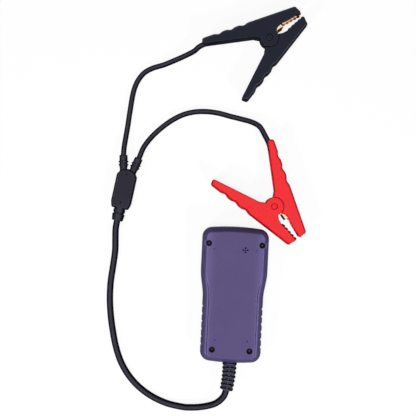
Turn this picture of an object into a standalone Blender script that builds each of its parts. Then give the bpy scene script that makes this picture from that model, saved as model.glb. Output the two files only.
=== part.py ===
"""Hand-held battery tester with a Y-lead and two spring clamps, lying face down.

The frame is the tester's own: the origin is on the middle of its face, +Y runs towards
the display end and +Z comes out of its back. Everything rests on the plane z = 0.
"""

import math

import bmesh
import bpy
from mathutils import Matrix, Vector

for old in list(bpy.data.objects):
    bpy.data.objects.remove(old)

MM = 0.001

# Fits
CLEAR = 0.3 * MM              # gap between pieces that touch
OVERLAP = 0.6 * MM            # how far shapes that are joined run into each other

# Case
CASE_LENGTH = 125.0 * MM
TOP_Y = CASE_LENGTH / 2       # the display end
LOW_Y = -CASE_LENGTH / 2      # the cord end
CASE_THICK = 25.0 * MM
PARTING_Z = 12.0 * MM
UPPER_HALF_WIDTH = 30.7 * MM
LOWER_HALF_WIDTH = 27.9 * MM
TAPER_FROM_TOP = 40.5 * MM
TAPER_FROM_LOW = 59.5 * MM
TAPER_TOP_Y = TOP_Y - TAPER_FROM_TOP
TAPER_LOW_Y = LOW_Y + TAPER_FROM_LOW
CORNER_R = 9.0 * MM
END_ARCH_R = 205.0 * MM       # radius of the gently arched ends
CASE_WALL = 2.2 * MM
FACE_WALL = 3.4 * MM
WALL_DRAFT = 0.5 * MM         # the wall thickens by this towards the face
EDGE_ROUND = 6.0 * MM         # width of the rounded edge of the back
FACE_ROUND = 4.6 * MM         # width of the rounded edge of the face
SHOULDER_DROP = 1.0 * MM      # the grip shoulder lies this much lower
GROOVE_COUNT = 6
GROOVE_PITCH = 7.0 * MM
GROOVES_FROM_LOW = 50.5 * MM
GROOVE_TOP_Y = LOW_Y + GROOVES_FROM_LOW
GROOVE_HALF = 1.8 * MM
GROOVE_DEPTH = 0.8 * MM

# Case screws
SCREW_UPPER_X = 24.3 * MM
SCREW_FROM_TOP = 15.8 * MM
SCREW_LOWER_X = 17.1 * MM
SCREW_FROM_LOW = 12.6 * MM
SCREW_HEAD_R = 2.4 * MM
SCREW_HEAD_H = 2.0 * MM
SCREW_SHANK_R = 1.4 * MM
SCREW_SUNK = 2.0 * MM         # head below the back
SCREW_REACH = 13.0 * MM       # shank below the head
POST_WALL = 1.7 * MM

# Vent above the buzzer
VENT_X = 9.1 * MM
VENT_FROM_TOP = 20.7 * MM
VENT_Y = TOP_Y - VENT_FROM_TOP
VENT_STEP = 1.95 * MM
VENT_R = 0.65 * MM

# Face: display window and keypad
PANEL_DEPTH = 2.0 * MM
SHEET_THICK = 0.6 * MM
PANEL_CORNER = 4.0 * MM
DISPLAY_FROM_TOP = 35.5 * MM
DISPLAY_Y = TOP_Y - DISPLAY_FROM_TOP
DISPLAY_WIDTH = 47.0 * MM
DISPLAY_HEIGHT = 38.0 * MM
WINDOW_WIDTH = 35.0 * MM
WINDOW_HEIGHT = 27.0 * MM
KEYPAD_FROM_LOW = 33.5 * MM
KEYPAD_Y = LOW_Y + KEYPAD_FROM_LOW
KEYPAD_SIDE = 41.0 * MM
KEY_WIDTH = 11.0 * MM
KEY_HEIGHT = 8.6 * MM
KEY_CORNER = 2.4 * MM
KEY_REACH_X = 12.8 * MM
KEY_REACH_Y = 12.0 * MM
KEY_SUNK = 0.3 * MM           # key top above the rest plane
KEY_FLANGE = 1.0 * MM
KEY_FLANGE_THICK = 1.0 * MM
KEY_TRAVEL = 0.8 * MM

# Board and what it carries
BOARD_Z = 10.0 * MM
BOARD_THICK = 1.6 * MM
BOARD_HALF_WIDTH = 24.0 * MM
BOARD_FROM_LOW = 17.5 * MM
BOARD_FROM_TOP = 21.0 * MM
BOARD_TAB_HALF = 17.0 * MM
BOARD_TAB_FROM_TOP = 12.5 * MM
BOARD_POST_X = 21.4 * MM
BOARD_POST_FROM_LOW = 24.5 * MM
BOARD_POST_R = 2.3 * MM
BOARD_SCREW_R = 1.0 * MM
BOARD_SCREW_HEAD_R = 2.0 * MM
BOARD_SCREW_HEAD_H = 1.5 * MM
BOARD_SCREW_REACH = 6.0 * MM
LCD_WIDTH = 39.0 * MM
LCD_HEIGHT = 31.0 * MM
LCD_THICK = 2.2 * MM
SWITCH_SIDE = 6.0 * MM
SWITCH_CORNER = 0.8 * MM
BUZZER_R = 6.0 * MM
BUZZER_H = 8.5 * MM
CHIP_SIDE = 12.0 * MM
CHIP_THICK = 1.4 * MM
CHIP_X = -6.0 * MM
CHIP_PAST_RESISTOR = 18.0 * MM
CAPACITOR_R = 4.0 * MM
CAPACITOR_H = 9.0 * MM
CAPACITOR_X = 12.0 * MM
CAPACITOR_FROM_LOW = 28.5 * MM
RESISTOR_LENGTH = 24.0 * MM
RESISTOR_WIDTH = 7.5 * MM
RESISTOR_H = 7.0 * MM
RESISTOR_FROM_LOW = 52.5 * MM
RESISTOR_STEP = 11.0 * MM
TERMINAL_WIDTH = 14.0 * MM
TERMINAL_DEPTH = 8.0 * MM
TERMINAL_H = 7.5 * MM
TERMINAL_FROM_LOW = 25.5 * MM
TERMINAL_Y = LOW_Y + TERMINAL_FROM_LOW

# Boot and cords
CORD_R = 3.05 * MM
LEAD_R = 2.5 * MM
CORE_R = 1.0 * MM
BOOT_FLANGE_R = 6.0 * MM
BOOT_FLANGE_THICK = 2.0 * MM
BOOT_NECK_R = 4.9 * MM
BOOT_TOP_R = 6.4 * MM
BOOT_END_R = 5.8 * MM
BOOT_CORE_R = 4.4 * MM
BOOT_RIBS = 7
BOOT_RIB = 2.3 * MM
BOOT_SLOT = 1.4 * MM
JACKET_INSIDE = 6.0 * MM      # cord jacket past the boot's flange
CORE_APART = 1.3 * MM

# Splitter
SPLITTER_X = -105.9 * MM
SPLITTER_PAST_TOP = 27.6 * MM
SPLITTER_Y = TOP_Y + SPLITTER_PAST_TOP
SPLITTER_TILT = math.radians(9.7)
SPLITTER_LENGTH = 32.6 * MM
SPLITTER_LOW_WIDTH = 15.8 * MM
SPLITTER_WIDTH = 19.0 * MM
SPLITTER_WAIST = 6.0 * MM      # narrowing towards the main cord
SPLITTER_ARCH = 5.2 * MM       # rise of the lead end past its ports
SPLITTER_SHOULDER = 1.3 * MM   # drop of its corners below the ports
SPLITTER_THICK = 12.0 * MM
SPLITTER_WALL = 2.0 * MM
SPLITTER_CORNER = 2.2 * MM
SPLITTER_ROUND = 2.0 * MM
PORT_OFFSET = 3.65 * MM
PORT_TILT = math.radians(12.35)
RELIEF_MAIN_R = 5.2 * MM
RELIEF_MAIN_END_R = 4.3 * MM
RELIEF_MAIN_LENGTH = 11.6 * MM
RELIEF_LEAD_R = 3.5 * MM
RELIEF_RING_R = 4.3 * MM
RELIEF_RING = 1.3 * MM
RELIEF_LEAD_LENGTH = 17.2 * MM
RELIEF_INSIDE = 3.2 * MM      # relief held between the splitter's shells
RELIEF_FLANGE = 0.85 * MM

# Clamps
CLAMP_THICK = 18.0 * MM
CLAMP_PLATE = 2.0 * MM
CLAMP_BACK = 2.2 * MM
TIP_T = 36.8 * MM
TIP_INNER_N = 2.0 * MM
TIP_OUTER_N = 10.2 * MM
HEEL_OUTER_T = -50.5 * MM
HEEL_OUTER_N = 36.0 * MM
HEEL_INNER_T = -53.7 * MM
HEEL_INNER_N = 30.8 * MM
HEEL_ROUND = 2.2 * MM
NECK_T = -11.5 * MM
NECK_N = 8.6 * MM
FINGER_COUNT = 3
FINGER_FIRST_T = -12.0 * MM
FINGER_PITCH = 11.6 * MM
FINGER_HALF = 4.6 * MM
FINGER_DEPTH = 1.2 * MM
THROAT_T = 16.8 * MM
THROAT_N = 4.3 * MM
EAR_R = 8.6 * MM
EAR_GAP = 0.5 * MM
PIN_R = 2.2 * MM
PIN_HEAD_R = 2.9 * MM
PIN_HEAD_H = 0.9 * MM
PIN_SUNK = 0.2 * MM
JAW_START_T = 10.0 * MM
JAW_TAB_T = 15.2 * MM
JAW_NOTCH_T = 17.0 * MM
JAW_TAB_N = 1.4 * MM
JAW_NOTCH_N = 5.0 * MM
JAW_BACK_N = 6.6 * MM
JAW_SHEET = 1.0 * MM
TOOTH_COUNT = 5
TOOTH_HIGH = 1.3 * MM
TOOTH_FIRST_N = 4.4 * MM
TOOTH_LAST_N = 2.4 * MM
SPRING_R = 4.6 * MM
SPRING_WIRE_R = 0.65 * MM
SPRING_TURNS = 4
SPRING_STEPS = 10
SPRING_LEG_T = -21.0 * MM
CORD_SLOT = 5.8 * MM
LUG_R = 2.6 * MM
LUG_FLAT = 0.8 * MM
BLACK_PIVOT_X = 22.1 * MM
BLACK_PIVOT_PAST_TOP = 175.0 * MM
BLACK_ANGLE = math.radians(38.2)
RED_PIVOT_X = 34.0 * MM
RED_PIVOT_PAST_TOP = 20.3 * MM
RED_ANGLE = math.radians(-51.5)
BLACK_PIVOT = (BLACK_PIVOT_X, TOP_Y + BLACK_PIVOT_PAST_TOP)
RED_PIVOT = (RED_PIVOT_X, TOP_Y + RED_PIVOT_PAST_TOP)

# Routes of the free cords in mm, points chosen by hand. The main cord's are measured from the case's
# cord end and stretch with the way to the splitter. The leads' are measured from the display end.
MAIN_REACH = 152.6 * MM
MAIN_ROUTE = [
    (-2.5, -28.0, 11.3), (-5.8, -34.7, 9.9), (-11.6, -39.7, 8.0), (-19.0, -42.7, 6.0),
    (-27.0, -44.5, 4.6), (-34.5, -45.3, 3.65), (-42.0, -45.2, 3.2), (-56.5, -42.5, 3.15),
    (-70.4, -36.9, 3.15), (-82.9, -28.7, 3.15), (-93.3, -18.1, 3.15), (-101.2, -5.5, 3.15),
    (-106.5, 8.5, 3.15), (-110.0, 23.0, 3.15), (-112.6, 37.5, 3.15), (-114.1, 52.5, 3.15),
    (-114.1, 67.5, 3.15), (-112.6, 82.5, 3.15), (-111.3, 97.0, 3.35), (-111.5, 108.5, 4.4),
    (-111.6, 117.5, 5.3),
]
BLACK_ROUTE = [
    (-107.3, 69.5, 5.2), (-106.3, 79.0, 3.85), (-105.2, 88.5, 2.85), (-103.9, 101.5, 2.6),
    (-102.2, 116.0, 2.6), (-100.5, 124.5, 2.6), (-97.4, 132.1, 2.6), (-92.2, 139.0, 2.6),
    (-84.6, 143.7, 2.6), (-74.5, 147.3, 2.75), (-64.3, 151.8, 3.85), (-54.2, 156.6, 5.6),
    (-46.5, 160.8, 7.4),
]
RED_ROUTE = [
    (-89.6, 68.7, 5.2), (-85.0, 76.2, 3.85), (-79.2, 83.2, 2.85), (-71.5, 90.5, 2.6),
    (-63.0, 96.9, 2.6), (-53.5, 102.0, 2.6), (-43.2, 104.9, 2.6), (-32.0, 105.7, 2.6),
    (-20.8, 104.7, 2.6), (-9.9, 102.3, 2.75), (1.0, 100.0, 3.85), (10.0, 97.7, 5.6),
    (17.6, 93.5, 7.4),
]
# Where a lead runs inside its clamp's handle, as (t, n), and where its jacket ends
HANDLE_ROUTE = [(-57.0, 31.2), (-51.0, 29.6), (-44.0, 27.0), (-35.0, 23.4), (-25.0, 19.4),
                (-16.0, 15.8), (-8.0, 12.8)]


def material(name, colour, roughness, metallic=0.0):
    """A plain finish with this sRGB colour, as 0 to 255."""
    made = bpy.data.materials.new(name)
    made.use_nodes = True
    shader = made.node_tree.nodes["Principled BSDF"]
    linear = [((c / 255 + 0.055) / 1.055) ** 2.4 for c in colour]
    shader.inputs["Base Color"].default_value = (*linear, 1.0)
    shader.inputs["Roughness"].default_value = roughness
    shader.inputs["Metallic"].default_value = metallic
    return made


PURPLE = material("purple_plastic", (94, 85, 127), 0.5)
DARK = material("dark_plastic", (40, 41, 50), 0.5)
SCREEN = material("smoked_lens", (20, 22, 26), 0.1)
KEYCAP = material("key_plastic", (205, 205, 210), 0.5)
BOARD = material("board_laminate", (30, 90, 50), 0.5)
COMPONENT = material("component_body", (30, 30, 32), 0.4)
CERAMIC = material("resistor_ceramic", (225, 222, 210), 0.8)
STEEL = material("plated_steel", (170, 170, 172), 0.3, 1.0)
COPPER = material("copper", (205, 130, 100), 0.3, 1.0)
RUBBER = material("cord_rubber", (34, 34, 40), 0.6)
BLACK_CLAMP = material("black_clamp_plastic", (40, 42, 54), 0.45)
RED_CLAMP = material("red_clamp_plastic", (244, 58, 65), 0.4)
RED_WIRE = material("red_wire", (200, 30, 35), 0.5)


def add(name, mesh, finish, parent=None):
    """An object from a bmesh, with outward faces and one finish."""
    bmesh.ops.recalc_face_normals(mesh, faces=mesh.faces)
    data = bpy.data.meshes.new(name)
    mesh.to_mesh(data)
    mesh.free()
    if finish:
        data.materials.append(finish)
    made = bpy.data.objects.new(name, data)
    bpy.context.scene.collection.objects.link(made)
    made.parent = parent
    return made


def helper(name, mesh, parent=None):
    """A shape that only cuts or joins another piece."""
    made = add(name, mesh, None, parent)
    made.hide_render = True
    made.display_type = "WIRE"
    return made


def boolean(piece, other, operation="DIFFERENCE"):
    change = piece.modifiers.new(other.name, "BOOLEAN")
    change.operation = operation
    change.object = other
    change.solver = "EXACT"


def loft(mesh, loops):
    """Closed body through loops of equal length, capped at both ends."""
    rings = [[mesh.verts.new(point) for point in loop] for loop in loops]
    count = len(rings[0])
    for low, high in zip(rings, rings[1:]):
        for i in range(count):
            j = (i + 1) % count
            mesh.faces.new((low[i], low[j], high[j], high[i]))
    mesh.faces.new(rings[0][::-1])
    mesh.faces.new(rings[-1])
    return mesh


def prism(mesh, outline, low, high):
    """An outline of (x, y) points stretched from z = low to z = high."""
    return loft(mesh, [[(x, y, z) for x, y in outline] for z in (low, high)])


def circle(centre, radius, steps=16):
    return [(centre[0] + radius * math.cos(2 * math.pi * i / steps),
             centre[1] + radius * math.sin(2 * math.pi * i / steps)) for i in range(steps)]


def turned(mesh, centre, profile, steps=16):
    """A round body about a vertical axis, from (radius, z) pairs."""
    return loft(mesh, [[(x, y, z) for x, y in circle(centre, r, steps)] for r, z in profile])


def rounded(centre, width, height, radius, steps=4):
    """Outline of a rectangle with round corners."""
    points = []
    for turn, (sx, sy) in enumerate([(1, 1), (-1, 1), (-1, -1), (1, -1)]):
        cx = centre[0] + sx * (width / 2 - radius)
        cy = centre[1] + sy * (height / 2 - radius)
        for i in range(steps + 1):
            angle = (turn + i / steps) * math.pi / 2
            points.append((cx + radius * math.cos(angle), cy + radius * math.sin(angle)))
    return points


def softened(corners, steps=3):
    """Outline through (x, y, radius) corners, each rounded by its radius."""
    points = []
    for i, (x, y, radius) in enumerate(corners):
        here = Vector((x, y))
        before = (Vector(corners[i - 1][:2]) - here).normalized()
        after = (Vector(corners[(i + 1) % len(corners)][:2]) - here).normalized()
        if radius == 0:
            points.append((x, y))
            continue
        half = before.angle(after) / 2
        reach = radius / math.tan(half)
        centre = here + (before + after).normalized() * (radius / math.sin(half))
        start = here + before * reach - centre
        end = here + after * reach - centre
        sweep = end.angle_signed(start)
        for k in range(steps + 1):
            turned_by = Matrix.Rotation(sweep * k / steps, 2) @ start
            points.append(tuple(centre + turned_by))
    return points


def smooth_curve(points, step):
    """Points at an even distance along a smooth curve through the given ones."""
    knots = [Vector(p) for p in points]
    knots = [2 * knots[0] - knots[1]] + knots + [2 * knots[-1] - knots[-2]]
    fine = []
    for a, b, c, d in zip(knots, knots[1:], knots[2:], knots[3:]):
        for k in range(12):
            u = k / 12
            fine.append(0.5 * (2 * b + (c - a) * u + (2 * a - 5 * b + 4 * c - d) * u ** 2
                               + (3 * b - a - 3 * c + d) * u ** 3))
    fine.append(knots[-2])
    lengths = [0.0]
    for a, b in zip(fine, fine[1:]):
        lengths.append(lengths[-1] + (b - a).length)
    count = max(2, round(lengths[-1] / step))
    even = []
    k = 0
    for i in range(count + 1):
        target = lengths[-1] * i / count
        while k < len(fine) - 2 and lengths[k + 1] < target:
            k += 1
        share = (target - lengths[k]) / (lengths[k + 1] - lengths[k])
        even.append(fine[k].lerp(fine[k + 1], share))
    return even


def tube(name, points, radius, finish, resolution=2, parent=None):
    """A cord: a straight-sided curve with a round section and closed ends."""
    data = bpy.data.curves.new(name, "CURVE")
    data.dimensions = "3D"
    data.bevel_depth = radius
    data.bevel_resolution = resolution
    data.use_fill_caps = True
    spline = data.splines.new("POLY")
    spline.points.add(len(points) - 1)
    for place, point in zip(spline.points, points):
        place.co = (*point, 1.0)
    data.materials.append(finish)
    made = bpy.data.objects.new(name, data)
    bpy.context.scene.collection.objects.link(made)
    made.parent = parent
    return made


def ringed(mesh, path, profile, bore, steps=16):
    """A hollow round piece along a path: profile gives (distance, radius) pairs."""
    def station(distance):
        k = 0
        gone = 0.0
        while k < len(path) - 2 and gone + (path[k + 1] - path[k]).length < distance:
            gone += (path[k + 1] - path[k]).length
            k += 1
        along = (path[k + 1] - path[k]).normalized()
        return path[k] + along * (distance - gone), along

    def loop(distance, radius):
        centre, along = station(distance)
        side = along.cross(Vector((0, 0, 1))).normalized()
        up = side.cross(along)
        return [centre + radius * (side * math.cos(a) + up * math.sin(a))
                for a in (2 * math.pi * i / steps for i in range(steps))]

    loops = [loop(d, bore) for d, _ in (profile[-1], profile[0])]
    middle = [loop(d, bore) for d in (profile[-1][0] * (1 - k / 6) + profile[0][0] * k / 6
                                      for k in range(1, 6))]
    outer = [loop(d, r) for d, r in profile]
    rings = [loops[0]] + middle + [loops[1]] + outer
    verts = [[mesh.verts.new(p) for p in ring] for ring in rings]
    for low, high in zip(verts, verts[1:] + verts[:1]):
        for i in range(steps):
            j = (i + 1) % steps
            mesh.faces.new((low[i], low[j], high[j], high[i]))
    return mesh


# Case outline

def end_half(width, sign):
    """Right half of one arched end, from the middle of the end to its side."""
    middle_y = TOP_Y - END_ARCH_R
    corner_x = width - CORNER_R
    corner_y = middle_y + math.sqrt((END_ARCH_R - CORNER_R) ** 2 - corner_x ** 2)
    meet = math.atan2(corner_y - middle_y, corner_x)
    points = []
    for i in range(4):
        angle = math.pi / 2 + (meet - math.pi / 2) * i / 4
        points.append((END_ARCH_R * math.cos(angle),
                       sign * (middle_y + END_ARCH_R * math.sin(angle))))
    for i in range(7):
        angle = meet * (1 - i / 6)
        points.append((corner_x + CORNER_R * math.cos(angle),
                       sign * (corner_y + CORNER_R * math.sin(angle))))
    return points


def groove_centres():
    return [GROOVE_TOP_Y - GROOVE_PITCH * i for i in range(GROOVE_COUNT)]


def right_half():
    """The case's right side from the middle of its top to the middle of its bottom."""
    points = end_half(UPPER_HALF_WIDTH, 1)
    for i in range(7):
        u = i / 6
        ease = u * u * (3 - 2 * u)
        points.append((UPPER_HALF_WIDTH + (LOWER_HALF_WIDTH - UPPER_HALF_WIDTH) * ease,
                       TAPER_TOP_Y + (TAPER_LOW_Y - TAPER_TOP_Y) * u))
    for centre in groove_centres():
        for part in (1.0, 0.5, 0.0, -0.5, -1.0):
            points.append((LOWER_HALF_WIDTH, centre + part * GROOVE_HALF))
    points += end_half(LOWER_HALF_WIDTH, -1)[::-1]
    return points


def case_outline():
    """Points round the case with their inward directions."""
    right = right_half()
    left = [(-x, y) for x, y in right[-2:0:-1]]
    ring = [Vector(p) for p in right + left]
    found = []
    for i, point in enumerate(ring):
        along = ring[(i + 1) % len(ring)] - ring[i - 1]
        found.append((point, Vector((along.y, -along.x)).normalized()))
    return found


CASE_RING = case_outline()


def groove_depth(y):
    nearest = min(abs(y - centre) for centre in groove_centres())
    if nearest >= GROOVE_HALF:
        return 0.0
    return GROOVE_DEPTH * 0.5 * (1 + math.cos(math.pi * nearest / GROOVE_HALF))


def grip_share(y):
    """0 on the upper half, 1 on the grip, with a smooth change at the taper."""
    u = min(1.0, max(0.0, (TAPER_TOP_Y - y) / (TAPER_TOP_Y - TAPER_LOW_Y)))
    return u * u * (3 - 2 * u)


def case_loop(inset, z, grooved=0.0, drop=0.0):
    """The case outline drawn in by inset, at height z."""
    loop = []
    for point, inward in CASE_RING:
        on_side = abs(point.x) > LOWER_HALF_WIDTH / 2
        depth = grooved * groove_depth(point.y) if on_side else 0.0
        place = point + inward * (inset + depth)
        loop.append((place.x, place.y, z - drop * grip_share(point.y)))
    return loop


SCREW_PLACES = [(side * x, y) for x, y in ((SCREW_UPPER_X, TOP_Y - SCREW_FROM_TOP),
                                           (SCREW_LOWER_X, LOW_Y + SCREW_FROM_LOW)) for side in (-1, 1)]
HEAD_TOP_Z = CASE_THICK - SCREW_SUNK
HEAD_LOW_Z = HEAD_TOP_Z - SCREW_HEAD_H
RECESS_R = SCREW_HEAD_R + CLEAR
POST_R = RECESS_R + POST_WALL
RIM_UP_Z = PARTING_Z + CLEAR / 2
RIM_LOW_Z = PARTING_Z - CLEAR / 2
NECK_HOLE_R = BOOT_NECK_R + CLEAR


def neck_hole(mesh):
    """A round hole through the lower end wall for the boot's neck."""
    ring = circle((0, PARTING_Z), NECK_HOLE_R, 20)
    return loft(mesh, [[(x, y, z) for x, z in ring]
                       for y in (LOW_Y - 4 * CASE_WALL, LOW_Y + 2 * CASE_WALL)])


def make_rear_cover():
    roof = CASE_THICK - CASE_WALL
    loops = [
        case_loop(EDGE_ROUND, roof),
        case_loop(CASE_WALL + 0.35 * EDGE_ROUND, roof - 0.2 * EDGE_ROUND, 0, SHOULDER_DROP),
        case_loop(CASE_WALL, roof - 0.9 * EDGE_ROUND, 0.9),
        case_loop(CASE_WALL, RIM_UP_Z, 1.0),
        case_loop(0, RIM_UP_Z, 1.0),
        case_loop(0, CASE_THICK - 1.1 * EDGE_ROUND, 1.0),
        case_loop(0.1 * EDGE_ROUND, CASE_THICK - 0.65 * EDGE_ROUND, 0.8, SHOULDER_DROP),
        case_loop(0.35 * EDGE_ROUND, CASE_THICK - 0.28 * EDGE_ROUND, 0.2, SHOULDER_DROP),
        case_loop(0.75 * EDGE_ROUND, CASE_THICK - 0.05 * EDGE_ROUND, 0, SHOULDER_DROP),
        case_loop(EDGE_ROUND, CASE_THICK),
    ]
    cover = add("rear_cover", loft(bmesh.new(), loops), PURPLE)
    posts = bmesh.new()
    holes = neck_hole(bmesh.new())
    for place in SCREW_PLACES:
        turned(posts, place, [(POST_R, RIM_UP_Z + CLEAR), (POST_R, roof + OVERLAP)])
        turned(holes, place, [(SCREW_SHANK_R + CLEAR, PARTING_Z - CLEAR),
                              (SCREW_SHANK_R + CLEAR, HEAD_LOW_Z - CLEAR),
                              (RECESS_R, HEAD_LOW_Z - CLEAR), (RECESS_R, CASE_THICK + OVERLAP)])
    for dx, dy in ((0, 0), (1, 0), (-1, 0), (0, 1), (0, -1)):
        place = (VENT_X + dx * VENT_STEP, VENT_Y + dy * VENT_STEP)
        turned(holes, place, [(VENT_R, roof - OVERLAP), (VENT_R, CASE_THICK + OVERLAP)], 8)
    boolean(cover, helper("rear_posts", posts), "UNION")
    boolean(cover, helper("rear_holes", holes))


KEY_PLACES = {
    "key_up": (0, KEYPAD_Y + KEY_REACH_Y),
    "key_down": (0, KEYPAD_Y - KEY_REACH_Y),
    "key_back": (-KEY_REACH_X, KEYPAD_Y),
    "key_enter": (KEY_REACH_X, KEYPAD_Y),
}
BOARD_SCREW_PLACES = [(side * BOARD_POST_X, LOW_Y + BOARD_POST_FROM_LOW) for side in (-1, 1)]


def key_outline(place, margin):
    return rounded(place, KEY_WIDTH + 2 * margin, KEY_HEIGHT + 2 * margin, KEY_CORNER + margin)


def make_front_cover():
    loops = [
        case_loop(FACE_ROUND, FACE_WALL),
        case_loop(CASE_WALL + WALL_DRAFT, FACE_WALL + 0.5 * FACE_ROUND, 0.9),
        case_loop(CASE_WALL, RIM_LOW_Z, 1.0),
        case_loop(0, RIM_LOW_Z, 1.0),
        case_loop(0, 1.1 * FACE_ROUND, 1.0),
        case_loop(0.12 * FACE_ROUND, 0.6 * FACE_ROUND, 0.8),
        case_loop(0.45 * FACE_ROUND, 0.18 * FACE_ROUND, 0.2),
        case_loop(FACE_ROUND, 0),
    ]
    cover = add("front_cover", loft(bmesh.new(), loops), PURPLE)
    posts = bmesh.new()
    holes = neck_hole(bmesh.new())
    floor = FACE_WALL - OVERLAP
    shank_end = HEAD_LOW_Z - SCREW_REACH - CLEAR
    for place in SCREW_PLACES:
        turned(posts, place, [(POST_R, floor), (POST_R, RIM_LOW_Z - CLEAR)])
        turned(holes, place, [(SCREW_SHANK_R + CLEAR, shank_end), (SCREW_SHANK_R + CLEAR, PARTING_Z)])
    for place in BOARD_SCREW_PLACES:
        turned(posts, place, [(BOARD_POST_R, floor), (BOARD_POST_R, BOARD_Z - CLEAR)], 12)
        turned(holes, place, [(BOARD_SCREW_R + CLEAR, BOARD_Z - BOARD_SCREW_REACH - CLEAR),
                              (BOARD_SCREW_R + CLEAR, BOARD_Z)], 12)
    panels = bmesh.new()
    prism(panels, rounded((0, DISPLAY_Y), DISPLAY_WIDTH, DISPLAY_HEIGHT, PANEL_CORNER),
          -OVERLAP, PANEL_DEPTH)
    prism(panels, rounded((0, KEYPAD_Y), KEYPAD_SIDE, KEYPAD_SIDE, PANEL_CORNER), -OVERLAP, PANEL_DEPTH)
    prism(holes, rounded((0, DISPLAY_Y), WINDOW_WIDTH, WINDOW_HEIGHT, PANEL_CORNER / 2),
          PANEL_DEPTH - OVERLAP, FACE_WALL + OVERLAP)
    for place in KEY_PLACES.values():
        prism(holes, key_outline(place, CLEAR), PANEL_DEPTH - OVERLAP, FACE_WALL + OVERLAP)
    boolean(cover, helper("front_posts", posts), "UNION")
    boolean(cover, helper("front_panels", panels))
    boolean(cover, helper("front_holes", holes))


SHEET_HIGH_Z = PANEL_DEPTH - CLEAR
SHEET_LOW_Z = SHEET_HIGH_Z - SHEET_THICK


def make_face():
    """Display lens, keypad overlay and keys."""
    lens = rounded((0, DISPLAY_Y), DISPLAY_WIDTH - 2 * CLEAR, DISPLAY_HEIGHT - 2 * CLEAR,
                   PANEL_CORNER - CLEAR)
    add("display_lens", prism(bmesh.new(), lens, SHEET_LOW_Z, SHEET_HIGH_Z), SCREEN)
    side = KEYPAD_SIDE - 2 * CLEAR
    sheet = rounded((0, KEYPAD_Y), side, side, PANEL_CORNER - CLEAR)
    overlay = add("keypad_overlay", prism(bmesh.new(), sheet, SHEET_LOW_Z, SHEET_HIGH_Z), DARK)
    openings = bmesh.new()
    for place in KEY_PLACES.values():
        prism(openings, key_outline(place, CLEAR), SHEET_LOW_Z - OVERLAP, SHEET_HIGH_Z + OVERLAP)
    boolean(overlay, helper("overlay_openings", openings))
    flange_z = FACE_WALL + CLEAR
    for name, place in KEY_PLACES.items():
        axis = bpy.data.objects.new(name + "_axis", None)
        axis.location = (*place, 0)
        bpy.context.scene.collection.objects.link(axis)
        edge = KEY_CORNER / 4
        cap = [[(x, y, z) for x, y in key_outline((0, 0), margin)]
               for margin, z in ((-edge, KEY_SUNK), (0, KEY_SUNK + edge), (0, flange_z),
                                 (KEY_FLANGE, flange_z), (KEY_FLANGE, flange_z + KEY_FLANGE_THICK))]
        add(name, loft(bmesh.new(), cap), KEYCAP, axis)


BOARD_TOP_Z = BOARD_Z + BOARD_THICK


def make_board():
    """Circuit board, display and the parts on the board."""
    half = BOARD_HALF_WIDTH
    low = LOW_Y + BOARD_FROM_LOW
    high = TOP_Y - BOARD_FROM_TOP
    tab = TOP_Y - BOARD_TAB_FROM_TOP
    outline = [(-half, low), (half, low), (half, high), (BOARD_TAB_HALF, high), (BOARD_TAB_HALF, tab),
               (-BOARD_TAB_HALF, tab), (-BOARD_TAB_HALF, high), (-half, high)]
    board = add("main_board", prism(bmesh.new(), outline, BOARD_Z, BOARD_TOP_Z), BOARD)
    holes = bmesh.new()
    for place in BOARD_SCREW_PLACES:
        turned(holes, place, [(BOARD_SCREW_R + CLEAR, BOARD_Z - OVERLAP),
                              (BOARD_SCREW_R + CLEAR, BOARD_TOP_Z + OVERLAP)], 12)
    boolean(board, helper("board_holes", holes))
    glass_z = FACE_WALL + CLEAR
    frame_z = glass_z + LCD_THICK + CLEAR
    frame = rounded((0, DISPLAY_Y), LCD_WIDTH, LCD_HEIGHT, PANEL_CORNER / 4, 2)
    add("lcd_panel", prism(bmesh.new(), frame, glass_z, glass_z + LCD_THICK), SCREEN)
    add("lcd_frame", prism(bmesh.new(), frame, frame_z, BOARD_Z - CLEAR), COMPONENT)
    switch_low = FACE_WALL + CLEAR + KEY_FLANGE_THICK + KEY_TRAVEL + CLEAR
    for name, place in KEY_PLACES.items():
        outline = rounded(place, SWITCH_SIDE, SWITCH_SIDE, SWITCH_CORNER, 1)
        add(name.replace("key", "switch"),
            prism(bmesh.new(), outline, switch_low, BOARD_Z - CLEAR), COMPONENT)
    base = BOARD_TOP_Z + CLEAR
    add("buzzer", turned(bmesh.new(), (VENT_X, VENT_Y), [
        (BUZZER_R, base), (BUZZER_R, base + BUZZER_H - BUZZER_R / 8),
        (BUZZER_R * 7 / 8, base + BUZZER_H)], 20), COMPONENT)
    resistor_y = LOW_Y + RESISTOR_FROM_LOW
    chip = rounded((CHIP_X, resistor_y + CHIP_PAST_RESISTOR), CHIP_SIDE, CHIP_SIDE, CHIP_THICK / 2, 1)
    add("processor", prism(bmesh.new(), chip, base, base + CHIP_THICK), COMPONENT)
    add("capacitor", turned(bmesh.new(), (CAPACITOR_X, LOW_Y + CAPACITOR_FROM_LOW), [
        (CAPACITOR_R, base), (CAPACITOR_R, base + CAPACITOR_H - CAPACITOR_R / 8),
        (CAPACITOR_R * 7 / 8, base + CAPACITOR_H)]), COMPONENT)
    for number in range(2):
        place = (0, resistor_y - RESISTOR_STEP * number)
        outline = rounded(place, RESISTOR_LENGTH, RESISTOR_WIDTH, RESISTOR_WIDTH / 8, 1)
        add(f"load_resistor_{number + 1}", prism(bmesh.new(), outline, base, base + RESISTOR_H), CERAMIC)
    add("terminal_block", prism(bmesh.new(), rounded(
        (0, TERMINAL_Y), TERMINAL_WIDTH, TERMINAL_DEPTH, TERMINAL_DEPTH / 8, 1),
        base, base + TERMINAL_H), COMPONENT)


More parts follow.
